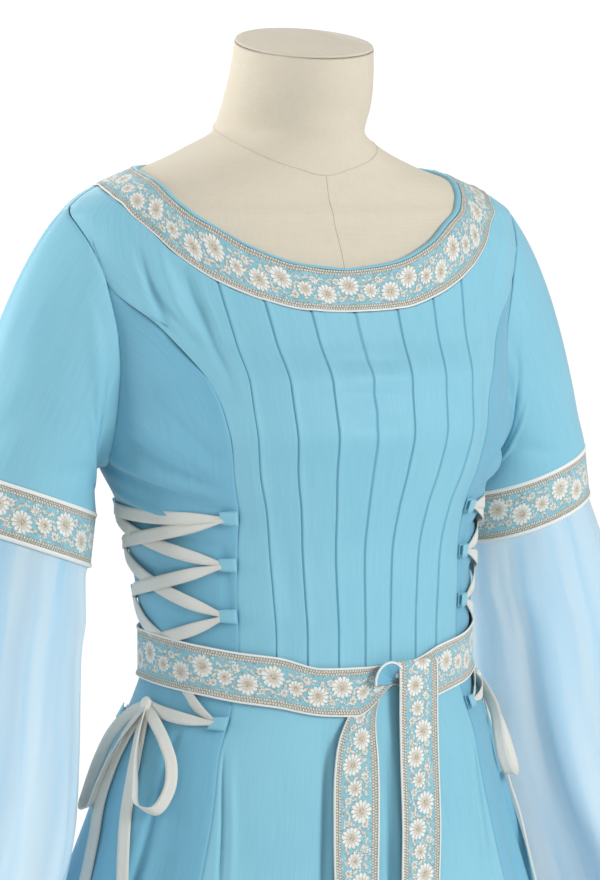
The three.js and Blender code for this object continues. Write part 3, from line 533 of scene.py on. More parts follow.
def linen_finish():
    f = Finish("form_linen", Roughness=0.88, Sheen_Weight=0.15, Specular_IOR_Level=0.15)
    along_it, across = f.along_across()
    warp, weft = along_it.waves(1.1), across.waves(1.1)
    thick = f.noise(1.0, detail=2.0, which="UV", Scale=(0.9, 0.06, 1.0))
    thin = f.noise(1.0, detail=2.0, which="UV", Scale=(0.06, 0.9, 1.0))
    patch = f.noise(6.0, detail=2.0)
    tone = (thick * 0.4 + thin * 0.4 + patch * 0.2).step(0.36, 0.64)
    f.put(f.shader, Base_Color=f.blend(tone, (0.66, 0.595, 0.475), (0.70, 0.64, 0.525)))
    f.bump(warp * weft * 0.4 + thick * 0.5 + thin * 0.5, 0.00012, 0.5)
    return f


def thread_finish(name, roughness, grain, low, high):
    f = Finish(name, Roughness=roughness)
    f.put(f.shader, Base_Color=f.blend(f.noise(grain), low, high))
    return f


def stand_finish():
    f = Finish("stand_enamel", Roughness=0.42, Metallic=0.2)
    speck = f.noise(220.0, detail=3.0)
    f.put(f.shader, Base_Color=f.blend(speck, (0.035, 0.035, 0.038), (0.06, 0.06, 0.062)))
    f.put(f.shader, Roughness=0.36 + speck * 0.14)
    f.bump(speck, 0.00006, 0.5)
    return f


BLUE_SATIN = blue_satin_finish("blue_satin", BLUE_DEEP, BLUE).material
# a darker copy of the satin: painted shade on the side panels and inside the belt's knot
PAINTED_SHADE_SATIN = blue_satin_finish("blue_satin_painted_shade", BLUE_PAINTED_SHADE, (0.19, 0.485, 0.650)).material
SHEER_BLUE = sheer_finish().material
FLORAL_RIBBON = floral_ribbon_finish().material
IVORY_TAPE = lace_tape_finish().material
FORM_LINEN = linen_finish().material
SEAM_THREAD = thread_finish("seam_thread", 0.8, 200.0, (0.58, 0.51, 0.41), (0.68, 0.61, 0.50)).material
WHITE_CORD = thread_finish("white_cord", 0.7, 300.0, (0.76, 0.77, 0.74), (0.86, 0.87, 0.85)).material
STAND_ENAMEL = stand_finish().material


# ---- making pieces ----
def thicken(piece, name, thick, offset):
    wall = piece.modifiers.new(name, "SOLIDIFY")
    wall.thickness, wall.offset, wall.use_rim = thick * MM, offset, True


def finish_piece(name, bm, material, slot, replaces=(), thick=0.0, wrap=False):
    """Turns a bmesh in millimetres into a shown piece in metres."""
    if wrap:
        bmesh.ops.remove_doubles(bm, verts=bm.verts, dist=0.01)
    bmesh.ops.scale(bm, vec=(MM, MM, MM), verts=bm.verts)
    mesh = bpy.data.meshes.new(name)
    bm.to_mesh(mesh)
    bm.free()
    mesh.shade_smooth()
    mesh.materials.append(material)
    piece = bpy.data.objects.new(name, mesh)
    bpy.context.scene.collection.objects.link(piece)
    if thick:
        thicken(piece, "cloth_thickness", thick, -1.0)
    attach(piece, "root")
    if replaces:
        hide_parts(*replaces)
    return piece


def sheet_mesh(across, up, place, measure):
    """A grid of len(across) by len(up) points, each moved to place(across, up). measure gives its flat
    millimetres, which the weave and the ribbon's pattern follow."""
    bm = bmesh.new()
    wide, tall = len(across) - 1, len(up) - 1
    layer = bm.loops.layers.uv.new("flat_measure")
    bmesh.ops.create_grid(bm, x_segments=wide, y_segments=tall, size=0.5, calc_uvs=True)
    flat = np.array([v.co[:2] for v in bm.verts]) + 0.5
    i, j = np.rint(flat[:, 0] * wide).astype(int), np.rint(flat[:, 1] * tall).astype(int)
    across, up = np.asarray(across, float), np.asarray(up, float)
    for vert, point in zip(bm.verts, place(across[i], up[j])):
        vert.co = point
    grid_u, grid_v = measure(*np.meshgrid(across, up, indexing="ij"))
    bm.verts.index_update()
    for face in bm.faces:
        for loop in face.loops:
            k = loop.vert.index
            loop[layer].uv = grid_u[i[k], j[k]], grid_v[i[k], j[k]]
    return bm


def flat_measure(place):
    """Millimetres along the rows and up the middle of a piece, from its own shape."""
    def measure(across, up):
        points = place(across.ravel(), up.ravel()).reshape(*across.shape, 3)
        steps = np.linalg.norm(np.diff(points, axis=0), axis=-1).mean(1)
        rises = np.linalg.norm(np.diff(points, axis=1), axis=-1).mean(0)
        u = np.concatenate([[0], np.cumsum(steps)])
        v = np.concatenate([[0], np.cumsum(rises)])
        return u[:, None] + 0 * across, v[None, :] + 0 * across
    return measure


def seam_dip(share, reach, depth=0.65):
    """How far cloth sinks beside its seams: share runs from 0 to 1 between them, reach is its length."""
    near = np.minimum(share, 1 - share) * reach
    return -depth * np.exp(-((near / 2.2) ** 2))


def cut_of(place, across, up):
    """Widest row, longest column and area of a piece in metres, as it was cut."""
    grid = np.meshgrid(np.asarray(across, float), np.asarray(up, float), indexing="ij")
    points = place(*(side.ravel() for side in grid)).reshape(*grid[0].shape, 3) * MM
    over, along_it = np.diff(points, axis=0), np.diff(points, axis=1)
    wide = np.linalg.norm(over, axis=-1).sum(0).max()
    long = np.linalg.norm(along_it, axis=-1).sum(1).max()
    area = np.linalg.norm(np.cross(over[:, :-1], along_it[:-1]), axis=-1).sum()
    return (round(float(wide) + 0.001, 3), round(float(long) + 0.001, 3)), float(area)


def cloth_piece(name, across, up, place, material, slot, replaces, measure=None, held="draped", on=(), **how):
    """A piece of cloth and its shown mesh; the size of the cut that it was sewn from is worked out but not
    kept.
    """
    mesh = sheet_mesh(across, up, place, (measure or flat_measure)(place))
    piece = finish_piece(name, mesh, material, slot, replaces, **how)
    flat, area = cut_of(place, across, up)
    flat = tuple(max(side, 0.01) for side in flat)
    return piece


# ---- panels ----
NECKLINE = table(
    "angle outer inner",
    (0, 1279, 1311),
    (10, 1281, 1316),
    (20, 1289, 1328),
    (30, 1302, 1345),
    (40, 1322, 1360),
    (50, 1345, 1371),
    (60, 1359, 1377),
    (75, 1368, 1382),
    (90, 1372, 1385),
    (110, 1371, 1387),
    (135, 1365, 1388),
    (160, 1358, 1388),
    (180, 1355, 1387),
)
NECK_FRONT, NECK_SHOULDER, NECK_NAPE = 1279, 1372, 1355

# Rows of the seams from the hem to the shoulder: row number, front seam and back seam.
SEAMS = table(
    "row z front back",
    (0, HEM_Z, 47, 118),
    (1, 230, 46.5, 118),
    (2, 430, 46, 117),
    (3, 620, 45, 116),
    (4, 770, 44, 115),
    (5, 860, 43.2, 114),
    (6, 920, 43.5, 113),
    (7, 962, 44.5, 112),
    (8, 1000, 45, 112),
    (9, 1030, 44, 112),
    (10, 1065, 43.5, 113),
    (11, 1100, 41.5, 115),
    (12, 1140, 39, 120),
)
FRONT_ROWS = table(
    "row angle z middle",
    *((r, f, z, z) for r, z, f, _ in zip(*SEAMS.values())),
    (13, 37.7, 1180, 1180),
    (14, 38.5, 1207, 1196),
    (15, 41, 1229, 1209),
    (16, 45.5, 1250, 1220),
    (17, 52.5, 1274, 1231),
    (18, 66.5, 1302, 1243),
    (19, 69.5, 1325, 1252),
    (20, 78, 1344, 1260),
    (21, 90, 1357, 1267),
    (22, 90, 1365, 1273),
    (23, 90, NECK_SHOULDER, NECK_FRONT),
)
BACK_ROWS = table(
    "row angle z middle",
    *((r, b, z, z) for r, z, _, b in zip(*SEAMS.values())),
    (13, 126, 1172, 1172),
    (14, 128, 1198, 1196),
    (15, 128, 1222, 1220),
    (16, 126, 1246, 1243),
    (17, 121, 1268, 1265),
    (18, 113, 1286, 1285),
    (19, 111.5, 1309, 1301),
    (20, 106, 1332, 1316),
    (21, 98.5, 1347, 1329),
    (22, 90, 1357, 1339),
    (23, 90, 1365, 1347),
    (24, 90, NECK_SHOULDER, NECK_NAPE),
)
ARMHOLE = table(
    "step angle z",
    (0, 90, 1357),
    (1, 78, 1344),
    (2, 69.5, 1325),
    (3, 66.5, 1302),
    (4, 67, 1279),
    (5, 69, 1255),
    (6, 72.5, 1229),
    (7, 76.5, 1202),
    (8, 83, 1179),
    (9, 91, 1165),
    (10, 100, 1172),
    (11, 107, 1195),
    (12, 111, 1225),
    (13, 113, 1256),
    (14, 113, 1286),
    (15, 111.5, 1309),
    (16, 106, 1332),
    (17, 98.5, 1347),
    (18, 90, 1357),
)
ARM_ANGLE = 66.5    # where the armhole comes furthest to the front
ARM_FRONT = table("angle z", (ARM_ANGLE, 1302), (69.5, 1325), (78, 1344), (90, 1357))
STRAIGHT = 0.7      # share of the front panel's width whose columns run straight up
STRAIGHT_ANGLE = 33.2
TUCK_COLUMNS = (-24, -15, -12, -9.5, -7, -4.5, -2, 1, 6, 13, 24)    # beside each tuck, in thousandths
# Rows where the seams part, the armhole begins, the shoulder begins, and the two panels end.
SEAM_TOP, ARM_ROW, SHOULDER_ROW, FRONT_TOP, BACK_TOP = 12, 18, 21, 23, 24
FRONT_STEP, BACK_STEP = 3, 14    # steps of the armhole where the side panel's seams meet it


def nape_share(share):
    return (along(NECKLINE, "angle", "outer", 180 - 90 * share) - NECK_NAPE) / (NECK_SHOULDER - NECK_NAPE)


def front_place(q, row):
    side = np.abs(q)
    edge = along(FRONT_ROWS, "row", "angle", row)
    angle = np.where(
        side <= STRAIGHT, side / STRAIGHT * STRAIGHT_ANGLE,
        STRAIGHT_ANGLE + (side - STRAIGHT) / (1 - STRAIGHT) * (edge - STRAIGHT_ANGLE),
    )
    middle, edge_z = (along(FRONT_ROWS, "row", name, np.minimum(row, ARM_ROW)) for name in ("middle", "z"))
    below = middle + (edge_z - middle) * (angle / np.minimum(edge, ARM_ANGLE)).clip(0, 1) ** 1.8
    below = np.where(angle > ARM_ANGLE, along(ARM_FRONT, "angle", "z", np.maximum(angle, ARM_ANGLE)), below)
    rise = np.clip((row - ARM_ROW) / (FRONT_TOP - ARM_ROW), 0, 1)
    at_edge = np.clip((row - SHOULDER_ROW) / (FRONT_TOP - SHOULDER_ROW), 0, 1)
    rise = rise + (angle / edge) ** 3 * (at_edge - rise)
    z = below + rise * (along(NECKLINE, "angle", "outer", angle) - below)
    return cloth(np.sign(q) * angle, z, CLOTH + seam_dip((q + 1) / 2, 240))


def back_place(q, row):
    edge = along(BACK_ROWS, "row", "angle", row)
    angle = 180 + q * (180 - edge)
    middle = along(BACK_ROWS, "row", "middle", row)
    z = middle + (along(BACK_ROWS, "row", "z", row) - middle) * nape_share(np.abs(q))
    return cloth(angle, z, CLOTH + seam_dip((q + 1) / 2, 280))


def side_place(share, row, hand=1):
    """share runs from the front seam to the back seam, row up to the armhole; hand is -1 on the right."""
    low, high = np.minimum(row, SEAM_TOP), np.maximum(row, SEAM_TOP)
    front, back = (along(SEAMS, "row", name, low) for name in ("front", "back"))
    z_low = along(SEAMS, "row", "z", low)
    rise = np.clip((row - SEAM_TOP) / (ARM_ROW - SEAM_TOP), 0, 1)
    step = FRONT_STEP + (BACK_STEP - FRONT_STEP) * share
    top_angle, top_z = (along(ARMHOLE, "step", name, step) for name in ("angle", "z"))
    angle = (1 - rise) * (front + (back - front) * share) + rise * top_angle
    z = (1 - rise) * z_low + rise * top_z
    for rows, name, weight, k in (
        (FRONT_ROWS, "front", 1 - share, FRONT_STEP),
        (BACK_ROWS, "back", share, BACK_STEP),
    ):
        seam_angle = (1 - rise) * SEAMS[name][-1] + rise * ARMHOLE["angle"][k]
        seam_z = (1 - rise) * SEAMS["z"][-1] + rise * ARMHOLE["z"][k]
        angle += weight * (along(rows, "row", "angle", high) - seam_angle)
        z += weight * (along(rows, "row", "z", high) - seam_z)
    return raised(draped, hand * angle, z, CLOTH + seam_dip(share, 190) + crease_rise(angle, z))


def right_side_place(share, row):
    return side_place(share, row, hand=-1)


def mirrored(place):
    def other(*spot):
        return place(*spot) * (-1, 1, 1)
    return other


def tuck_columns():
    edges = list(np.linspace(-1, 1, 97))
    for tuck in TUCKS:
        edges += [tuck * STRAIGHT / STRAIGHT_ANGLE + step / 1000 for step in TUCK_COLUMNS]
    for side in (-1, 1):
        edges += list(side * np.linspace(STRAIGHT, 0.97, 34))
    return np.unique(np.round(edges, 5))


def panel_rows(top, count):
    """Rows from the hem to top, closer together from the hips up."""
    hips = 7
    return np.concatenate([np.linspace(0, hips, 50)[:-1], np.linspace(hips, SEAM_TOP, 56)[:-1],
                           np.linspace(SEAM_TOP, top, count)])


front = cloth_piece(
    "front_panel_cloth", tuck_columns(), panel_rows(FRONT_TOP, 80), front_place, BLUE_SATIN, "blue_cloth",
    ["front_panel"], on=["dress_form"], thick=1.4)
back = cloth_piece(
    "back_panel_cloth", np.linspace(-1, 1, 121), panel_rows(BACK_TOP, 70), back_place, BLUE_SATIN,
    "blue_cloth", ["back_panel"], on=["dress_form"], thick=1.4)
sides = []
# the side panels take the darker satin, which is painted shade under the arms
for hand, place, ends in (("left", side_place, (0, 1)), ("right", right_side_place, (1, 0))):
    sides.append(cloth_piece(
        f"side_panel_cloth_{hand}", np.linspace(*ends, 91), panel_rows(ARM_ROW, 44), place, PAINTED_SHADE_SATIN,
        "blue_cloth", [f"side_panel_{hand}"], on=["dress_form"], thick=1.4))


# ---- ribbons ----
RIBBON_ROWS = np.array([0, 0.35, 0.8, 1.3, 1.75, 2.1, 3, 5, 8, 11, 14, 17, 19, 21, 24, 27, 30, 33, 35, 35.9,
                        36.25, 36.7, 37.2, 37.65, 38]) / RIBBON_WIDTH


def ribbon_out(share):
    """The ribbon is flat with a round white cord along each edge."""
    off = np.abs(np.minimum(share, 1 - share) * RIBBON_WIDTH - 1.05)
    return 0.55 + 0.9 * np.sqrt(np.clip(1 - (off / 1.05) ** 2, 0, 1))


def ribbon_measure(place, wide=RIBBON_WIDTH):
    def measure(across, up):
        u, _ = flat_measure(place)(across, up)
        return u, up * wide
    return measure


def neck_place(angle, share):
    side = np.abs((angle + 540) % 360 - 180)
    low, high = (along(NECKLINE, "angle", name, side) for name in ("outer", "inner"))
    wave = 0.25 * np.sin(np.radians(angle) * 23) + 0.2 * np.sin(np.radians(angle) * 41 + 1)
    return cloth(angle, low + (high - low) * (0.005 + 0.945 * share), CLOTH * 0.7 + ribbon_out(share) + wave)


def binding_place(angle, share):
    side = np.abs((angle + 540) % 360 - 180)
    low, high = (along(NECKLINE, "angle", name, side) for name in ("outer", "inner"))
    face = np.minimum(share, 1)
    round_it = np.sqrt(np.clip(1 - (2 * face - 1) ** 2, 0, 1))
    turned_in = -26 * np.maximum(share - 1, 0)
    against_ribbon = 1.5 * (1 - face) ** 2
    return raised(body, angle, low + (high - low) * (0.948 + 0.082 * face),
                  0.2 + 1.5 * round_it + against_ribbon + turned_in)


BELT = table(
    "angle top bottom",
    (0, 1018, 980),
    (15, 1019, 983),
    (30, 1028, 990),
    (45, 1032, 994),
    (60, 1036, 998),
    (90, 1041, 1002),
    (130, 1041, 1003),
    (180, 1041, 1003),
)


# Where the belt is tied its lower edge is drawn up.
GATHER = table("angle rise", (-30, 0), (-3.5, 0), (0, 5), (9, 21), (13, 15), (20, 0), (40, 0))


def belt_place(angle, share):
    side = np.abs((angle + 540) % 360 - 180)
    low, high = (along(BELT, "angle", name, side) for name in ("bottom", "top"))
    low = low + along(GATHER, "angle", "rise", np.clip(angle, -30, 40))
    slack = 0.5 * np.sin(np.radians(angle) * 7 + 1) + 0.35 * np.sin(np.radians(angle) * 17)
    return raised(body, angle, low + (high - low) * share, CLOTH + 2.1 + ribbon_out(share) + 0.6 * slack)


ring = np.linspace(-180, 180, 241)
NECK_SHOWN = 36.2    # of the neck ribbon's width; the rest lies under the binding
cloth_piece(
    "neckline_ribbon_cloth", ring, RIBBON_ROWS, neck_place, FLORAL_RIBBON, "floral_ribbon",
    ["neckline_ribbon"], lambda place: ribbon_measure(place, NECK_SHOWN), held="laid", on=[front, back],
    thick=1.2, wrap=True)
cloth_piece(
    "neckline_binding_cloth", ring, np.concatenate([np.linspace(0, 1, 7), [1.1, 1.25]]), binding_place,
    BLUE_SATIN, "blue_cloth", ["neckline_binding"], held="laid", on=["dress_form"], thick=0.8, wrap=True)
cloth_piece(
    "belt_cloth", ring, RIBBON_ROWS, belt_place, FLORAL_RIBBON, "floral_ribbon", ["belt"], ribbon_measure,
    held="laid", on=[front, back, *sides], thick=1.2, wrap=True)


# ---- sleeves ----
CUFF_CENTRE = np.array([215.5, 32.0, 1146.0])
CUFF_RADIUS = 52.0
CUFF_WIDTH = 40.0
OUTWARD = np.array([1.0, 0.0, math.tan(math.radians(20))])
DOWN_ARM = np.array([math.sin(math.radians(7)), 0.0, -math.cos(math.radians(7))])
BACKWARD = np.array([0.0, 1.0, 0.0])


def cuff(turn, drop, radius):
    turn, drop, radius = np.broadcast_arrays(turn, drop, radius)
    return (CUFF_CENTRE + drop[..., None] * DOWN_ARM + (radius * np.cos(turn))[..., None] * OUTWARD
            - (radius * np.sin(turn))[..., None] * BACKWARD)


# Soft folds of the upper sleeve: place round the arm in turns, place down it, sizes and rise.
SLEEVE_CREASES = table(
    "turn down to_turn to_down wide rise",
    (0.02, 0.05, 0.04, 0.85, 0.030, 1.6),
    (0.10, 0.02, 0.13, 0.55, 0.026, -1.8),
    (0.18, 0.10, 0.30, 0.42, 0.030, 1.5),
    (0.30, 0.20, 0.44, 0.52, 0.030, -2.0),
    (0.28, 0.45, 0.46, 0.72, 0.028, 1.4),
    (0.16, 0.55, 0.08, 0.95, 0.030, -1.3),
    (0.36, 0.62, 0.22, 0.96, 0.028, -1.4),
    (0.62, 0.18, 0.54, 0.55, 0.030, -1.8),
    (0.78, 0.08, 0.70, 0.50, 0.034, 1.5),
    (0.90, 0.06, 0.88, 0.75, 0.030, -1.6),
    (0.84, 0.55, 0.76, 0.95, 0.030, 1.2),
)


def sleeve_creases(turn, down):
    rise = np.zeros(np.broadcast(turn, down).shape)
    for a0, d0, a1, d1, wide, height in zip(*SLEEVE_CREASES.values()):
        share = np.clip((down - d0) / (d1 - d0), 0, 1)
        off = (turn - (a0 + (a1 - a0) * share) + 1.5) % 1 - 0.5
        ends = np.clip(1 - np.abs(2 * (down - d0) / (d1 - d0) - 1) ** 2.5, 0, 1)
        rise += height * np.exp(-((off / wide) ** 2)) * ends
    return rise


def upper_sleeve_place(turn, down):
    """turn is a share of the way round from the shoulder over the front; down runs to the ribbon."""
    step = turn % 1 * 18
    angle, z = (along(ARMHOLE, "step", name, step) for name in ("angle", "z"))
    top = raised(body, angle, z, 0 * z + CLOTH - 0.2)
    middle = np.array([172.0, 12.0, 1262.0])
    inward = unit(middle - top)
    top = top + inward * 0.4
    round_it = 2 * math.pi * turn
    end = cuff(round_it, -0.4, CUFF_RADIUS + 0.8)
    swell = np.sin(math.pi * down ** 0.7)
    out = np.where(np.cos(round_it) > 0, 10 * np.cos(round_it), -11 * np.cos(round_it))
    point = top + (end - top) * down[..., None] + (swell * out)[..., None] * OUTWARD
    point -= (2 * swell * np.sin(round_it))[..., None] * BACKWARD
    spread = np.cos(round_it)[..., None] * OUTWARD - np.sin(round_it)[..., None] * BACKWARD
    return point + (sleeve_creases(turn, down) * np.clip(6 * (1 - down), 0, 1))[..., None] * spread


def sleeve_ribbon_place(turn, share):
    return cuff(2 * math.pi * turn, CUFF_WIDTH * (1 - share), CUFF_RADIUS + 0.2 + ribbon_out(share))


SHEER = table(
    "row z x y half deep fold",
    (0, 1095, 228, 33, 52, 53, 0),
    (1, 1062, 231.5, 33, 62, 56, 1.5),
    (2, 1020, 241, 30, 66, 60, 3),
    (3, 950, 250.5, 26, 71, 68, 4.5),
    (4, 890, 263.5, 20, 76, 78, 6),
    (5, 850, 276.5, 15, 77, 84, 6.5),
    (6, 800, 292, 11, 77, 92, 7),
    (7, 740, 315.5, 9, 77, 101, 8),
    (8, 660, 346.5, 7, 77, 112, 9),
)


def sheer_place(turn, row):
    round_it = 2 * math.pi * turn
    z, x, y, half, deep, fold = (along(SHEER, "row", name, row) for name in "z x y half deep fold".split())
    drift = 0.35 * np.sin(round_it * 2 + row * 0.5) + 0.12 * row / 7
    pleats = np.cos(6 * round_it + drift) + 0.45 * np.cos(11 * round_it + 1.3 + 0.2 * row)
    wave = 1 + fold / half * pleats * 0.8
    fall = np.clip(row, 0, 1)
    point = np.stack([x + half * wave * np.cos(round_it), y - deep * wave * np.sin(round_it), z + 0 * x], -1)
    lift = CUFF_RADIUS * OUTWARD[2] * 0.7 * np.clip(2 - row, 0, 1) * np.cos(round_it)
    point[..., 2] += lift
    start = cuff(round_it, CUFF_WIDTH + 0.7, CUFF_RADIUS + 0.4)
    return start + (point - start) * fall[..., None]


def sleeve(hand):
    """The upper sleeve, its ribbon and the sheer sleeve below."""
    ends = (0, 1) if hand == "left" else (1, 0)
    flip = mirrored if hand == "right" else lambda place: place
    turns = np.linspace(*ends, 121)
    cloth_piece(
        f"upper_sleeve_cloth_{hand}", turns, np.linspace(1, 0, 70), flip(upper_sleeve_place), BLUE_SATIN,
        "blue_cloth", [f"upper_sleeve_{hand}"], held="hung", thick=1.2, wrap=True)
    cloth_piece(
        f"sleeve_ribbon_cloth_{hand}", turns, RIBBON_ROWS, flip(sleeve_ribbon_place), FLORAL_RIBBON,
        "floral_ribbon", [f"sleeve_ribbon_{hand}"], ribbon_measure, held="hung", thick=1.2, wrap=True)
    cloth_piece(
        f"sheer_sleeve_cloth_{hand}", np.linspace(*ends, 193), np.linspace(8, 0, 110), flip(sheer_place),
        SHEER_BLUE, "sheer_cloth", [f"sheer_sleeve_{hand}"], held="hung", wrap=True)


for hand in ("left", "right"):
    sleeve(hand)


# ---- tapes ----
def smooth_run(points, count):
    """A smooth line through points, at count even steps."""
    points = np.asarray(points, float)
    far = far_along(points)
    at = np.linspace(0, far[-1], count)
    slopes = np.gradient(points, far, axis=0)
    k = np.clip(np.searchsorted(far, at, side="right") - 1, 0, len(far) - 2)
    span = (far[k + 1] - far[k])[:, None]
    t = ((at - far[k])[:, None]) / span
    return bent(t, span, (points[k], points[k + 1]), (slopes[k], slopes[k + 1]))


def tape_piece(name, line, sides, width, material, slot, replaces=(), thick=0.9):
    """A flat tape along line; sides gives the direction of its width at each point."""
    run = unit(np.gradient(line, axis=0))
    sides = unit(sides - (sides * run).sum(1, keepdims=True) * run)
    count = np.arange(len(line))
    widths = np.broadcast_to(width, len(line))

    def place(share, step):
        k = np.rint(step).astype(int)
        return line[k] + sides[k] * ((share - 0.5) * widths[k])[:, None]

    def measure(share, step):
        return far_along(line)[np.rint(step).astype(int)], share * TAPE_WIDTH

    piece = finish_piece(name, sheet_mesh(np.linspace(0, 1, 5), count, place, measure), material, slot,
                         replaces)
    thicken(piece, "tape_thickness", thick, 0.0)
    return piece


def on_side(hand, angle, z, out):
    point = raised(draped, np.asarray(angle, float), np.asarray(z, float), CLOTH + np.asarray(out, float))
    return point * ((1, 1, 1) if hand == "left" else (-1, 1, 1))


# The bow hangs from its knot below the belt; each row gives how far the tape stands off the skirt.
BOW_KNOT = (81, 985)
BOW_TAILS = {
    "front": table("angle z out", (81, 985, 5), (77, 962, 3.6), (74.5, 934, 3.2), (72.5, 905, 3.2),
                   (69, 880, 3.2), (65, 845, 3.2), (63, 785, 3.2)),
    "rear": table("angle z out", (81, 985, 5), (85.5, 962, 3.6), (89.5, 936, 3.2), (91, 910, 3.2),
                  (89, 885, 3.2), (86, 850, 3.2), (84, 785, 3.2)),
}
BOW_LOOPS = {
    "front": table("angle z out", (81, 985, 5), (72, 974, 6), (64, 962, 7), (59, 946, 7), (58.5, 928, 7),
                   (62, 913, 8), (67.5, 916, 9), (70, 932, 9), (74, 956, 8), (81, 985, 6)),
    "rear": table("angle z out", (81, 985, 5), (88, 976, 6), (94, 961, 6), (98, 940, 6), (99.5, 918, 6),
                  (98, 903, 6.5), (94, 906, 7), (91, 925, 8), (86, 953, 8), (81, 985, 6)),
}


def bow(hand):
    knot_at = on_side(hand, *BOW_KNOT, 4.5)
    bm = bmesh.new()
    bmesh.ops.create_uvsphere(bm, u_segments=28, v_segments=18, radius=6.5)
    for vert in bm.verts:
        x, y, z = vert.co
        pinch = 1 + 0.10 * math.sin(3 * math.atan2(y, z) + 1.5 * x)
        vert.co = Vector((0.62 * x, y * pinch, 0.95 * z * pinch)) + Vector(knot_at)
    knot = finish_piece(f"bow_knot_{hand}", bm, IVORY_TAPE, "lace_tape", [f"lacing_bow_{hand}"])
    for name, rows in BOW_LOOPS.items():
        line = smooth_run(on_side(hand, rows["angle"], rows["z"], rows["out"]), 72)
        out = on_side(hand, 80, 930, 40) - on_side(hand, 80, 930, 0)
        run = np.gradient(line, axis=0)
        flat = unit(np.cross(run, out))
        tilt = np.clip(np.sin(np.linspace(0, math.pi, 72)), 0, 1)[:, None]
        sides = flat * (1 - 0.55 * tilt) + out / np.linalg.norm(out) * (0.35 + 0.65 * tilt)
        tape_piece(f"bow_loop_{name}_{hand}", line, sides, 9.0, IVORY_TAPE, "lace_tape")
    for name, rows in BOW_TAILS.items():
        line = smooth_run(on_side(hand, rows["angle"], rows["z"], rows["out"]), 60)
        across = on_side(hand, rows["angle"][3] + 1, 900, 0) - on_side(hand, rows["angle"][3] - 1, 900, 0)
        sway = np.sin(np.linspace(0, 2.4, 60))[:, None]
        out = on_side(hand, 80, 900, 20) - on_side(hand, 80, 900, 0)
        sides = across / np.linalg.norm(across) + sway * 0.35 * out / np.linalg.norm(out)
        tail = tape_piece(f"bow_tail_{name}_{hand}", line, sides, TAPE_WIDTH, IVORY_TAPE, "lace_tape")


for hand in ("left", "right"):
    bow(hand)

# ---- lacing and its loops ----
FRONT_LOOPS = (1132, 1096, 1058, 978)
BACK_LOOPS = (1132, 1102, 1066, 972)
LACE_RUNS = (
    ("back", 0, "front", 0, 0.0),
    ("front", 0, "back", 1, 1.5),
    ("back", 0, "front", 1, 0.0),
    ("front", 1, "back", 2, 1.5),
    ("back", 1, "front", 2, 0.0),
    ("front", 2, "belt", 0, 0.0),
    ("back", 2, "belt", 1, 0.0),
    ("front", 3, "belt", 2, 0.0),
    ("front", 3, "belt", 3, 1.5),
)
# Where the lace goes under the belt, and last the knot of the bow.
LACE_ENDS = ((79, 1037), (77, 1035), (65.5, 1001), (80, 985))


def millimetres(angle, z, mm):
    before, after = (body(np.array([angle + turn]), np.array([z])) for turn in (-0.5, 0.5))
    return mm / np.linalg.norm(after - before)


def loop_spot(name, number):
    if name == "belt":
        return LACE_ENDS[number]
    z = float((FRONT_LOOPS if name == "front" else BACK_LOOPS)[number])
    seam = float(along(SEAMS, "z", name, z))
    return seam + millimetres(seam, z, 7.5 if name == "front" else -7.5), z


def lace_loop(hand, name, number):
    angle, z = loop_spot(name, number)
    way = 1 if name == "front" else -1

    def place(share, over):
        """over goes once round the folded strip: out from the seam on top and back underneath."""
        far = 12.5 * np.sin(math.pi * over)
        lift = 2.2 + 1.6 * np.cos(math.pi * over)
        a = angle + way * millimetres(angle, z, 1.0) * (far - 7.0)
        return on_side(hand, a, z + (share - 0.5) * (10.5 - 0.12 * far), lift)

    steps = np.linspace(1, 0, 5) if (way > 0) == (hand == "left") else np.linspace(0, 1, 5)
    piece = finish_piece(f"lace_loop_{name}_{number + 1}_{hand}", sheet_mesh(
        steps, np.linspace(0, 1, 19), place, flat_measure(place),
    ), BLUE_SATIN, "blue_cloth", [f"{name}_loop_{number + 1}_{hand}"])
    thicken(piece, "loop_thickness", 0.8, 0.0)


def lace_run(hand, number, spec, replaces=()):
    start_name, start, end_name, end, lift = spec
    (a0, z0), (a1, z1) = loop_spot(start_name, start), loop_spot(end_name, end)
    t = np.linspace(0, 1, 46)
    swing = np.sin(math.pi * t) ** 0.6
    sag = -1.5 * np.sin(math.pi * t)
    line = on_side(hand, a0 + (a1 - a0) * t, z0 + (z1 - z0) * t + sag, 2.6 + lift * swing)
    long = np.linalg.norm(line[-1] - line[0])
    if end_name == "belt" and end < 3:
        tucked = 1.9 * np.exp(-(((1 - t) * long / 14) ** 2))
        line = on_side(hand, a0 + (a1 - a0) * t, z0 + (z1 - z0) * t + sag, 2.6 + lift * swing - tucked)
    pinch = sum({"front": 6.6, "back": 1.6, "belt": 0.5}[name] * np.exp(-((away * long / 17) ** 2))
                for name, away in ((start_name, t), (end_name, 1 - t)))
    sides = np.array([(0.0, 0.0, 1.0)] * 46)
    return tape_piece(f"lace_run_{number + 1}_{hand}", line, sides, np.maximum(TAPE_WIDTH - pinch, 2.6),
                      IVORY_TAPE, "lace_tape", replaces)


for hand in ("left", "right"):
    for number, spec in enumerate(LACE_RUNS):
        lace_run(hand, number, spec, [f"lacing_{hand}"] if number == 0 else ())
    for name in ("front", "back"):
        for number in range(4):
            lace_loop(hand, name, number)


# ---- belt ties and knot ----
def tie_place(rows):
    def place(share, row):
        z, out, middle, wide = (along(rows, "row", name, row) for name in ("z", "out", "middle", "wide"))
        half = along(SECTIONS, "z", "half", z)
        angle = np.degrees(np.arcsin(np.clip((middle + (share - 0.5) * wide) / half, -1, 1)))
        return raised(draped, angle, z, CLOTH + out + ribbon_out(share) - 0.55)
    return place


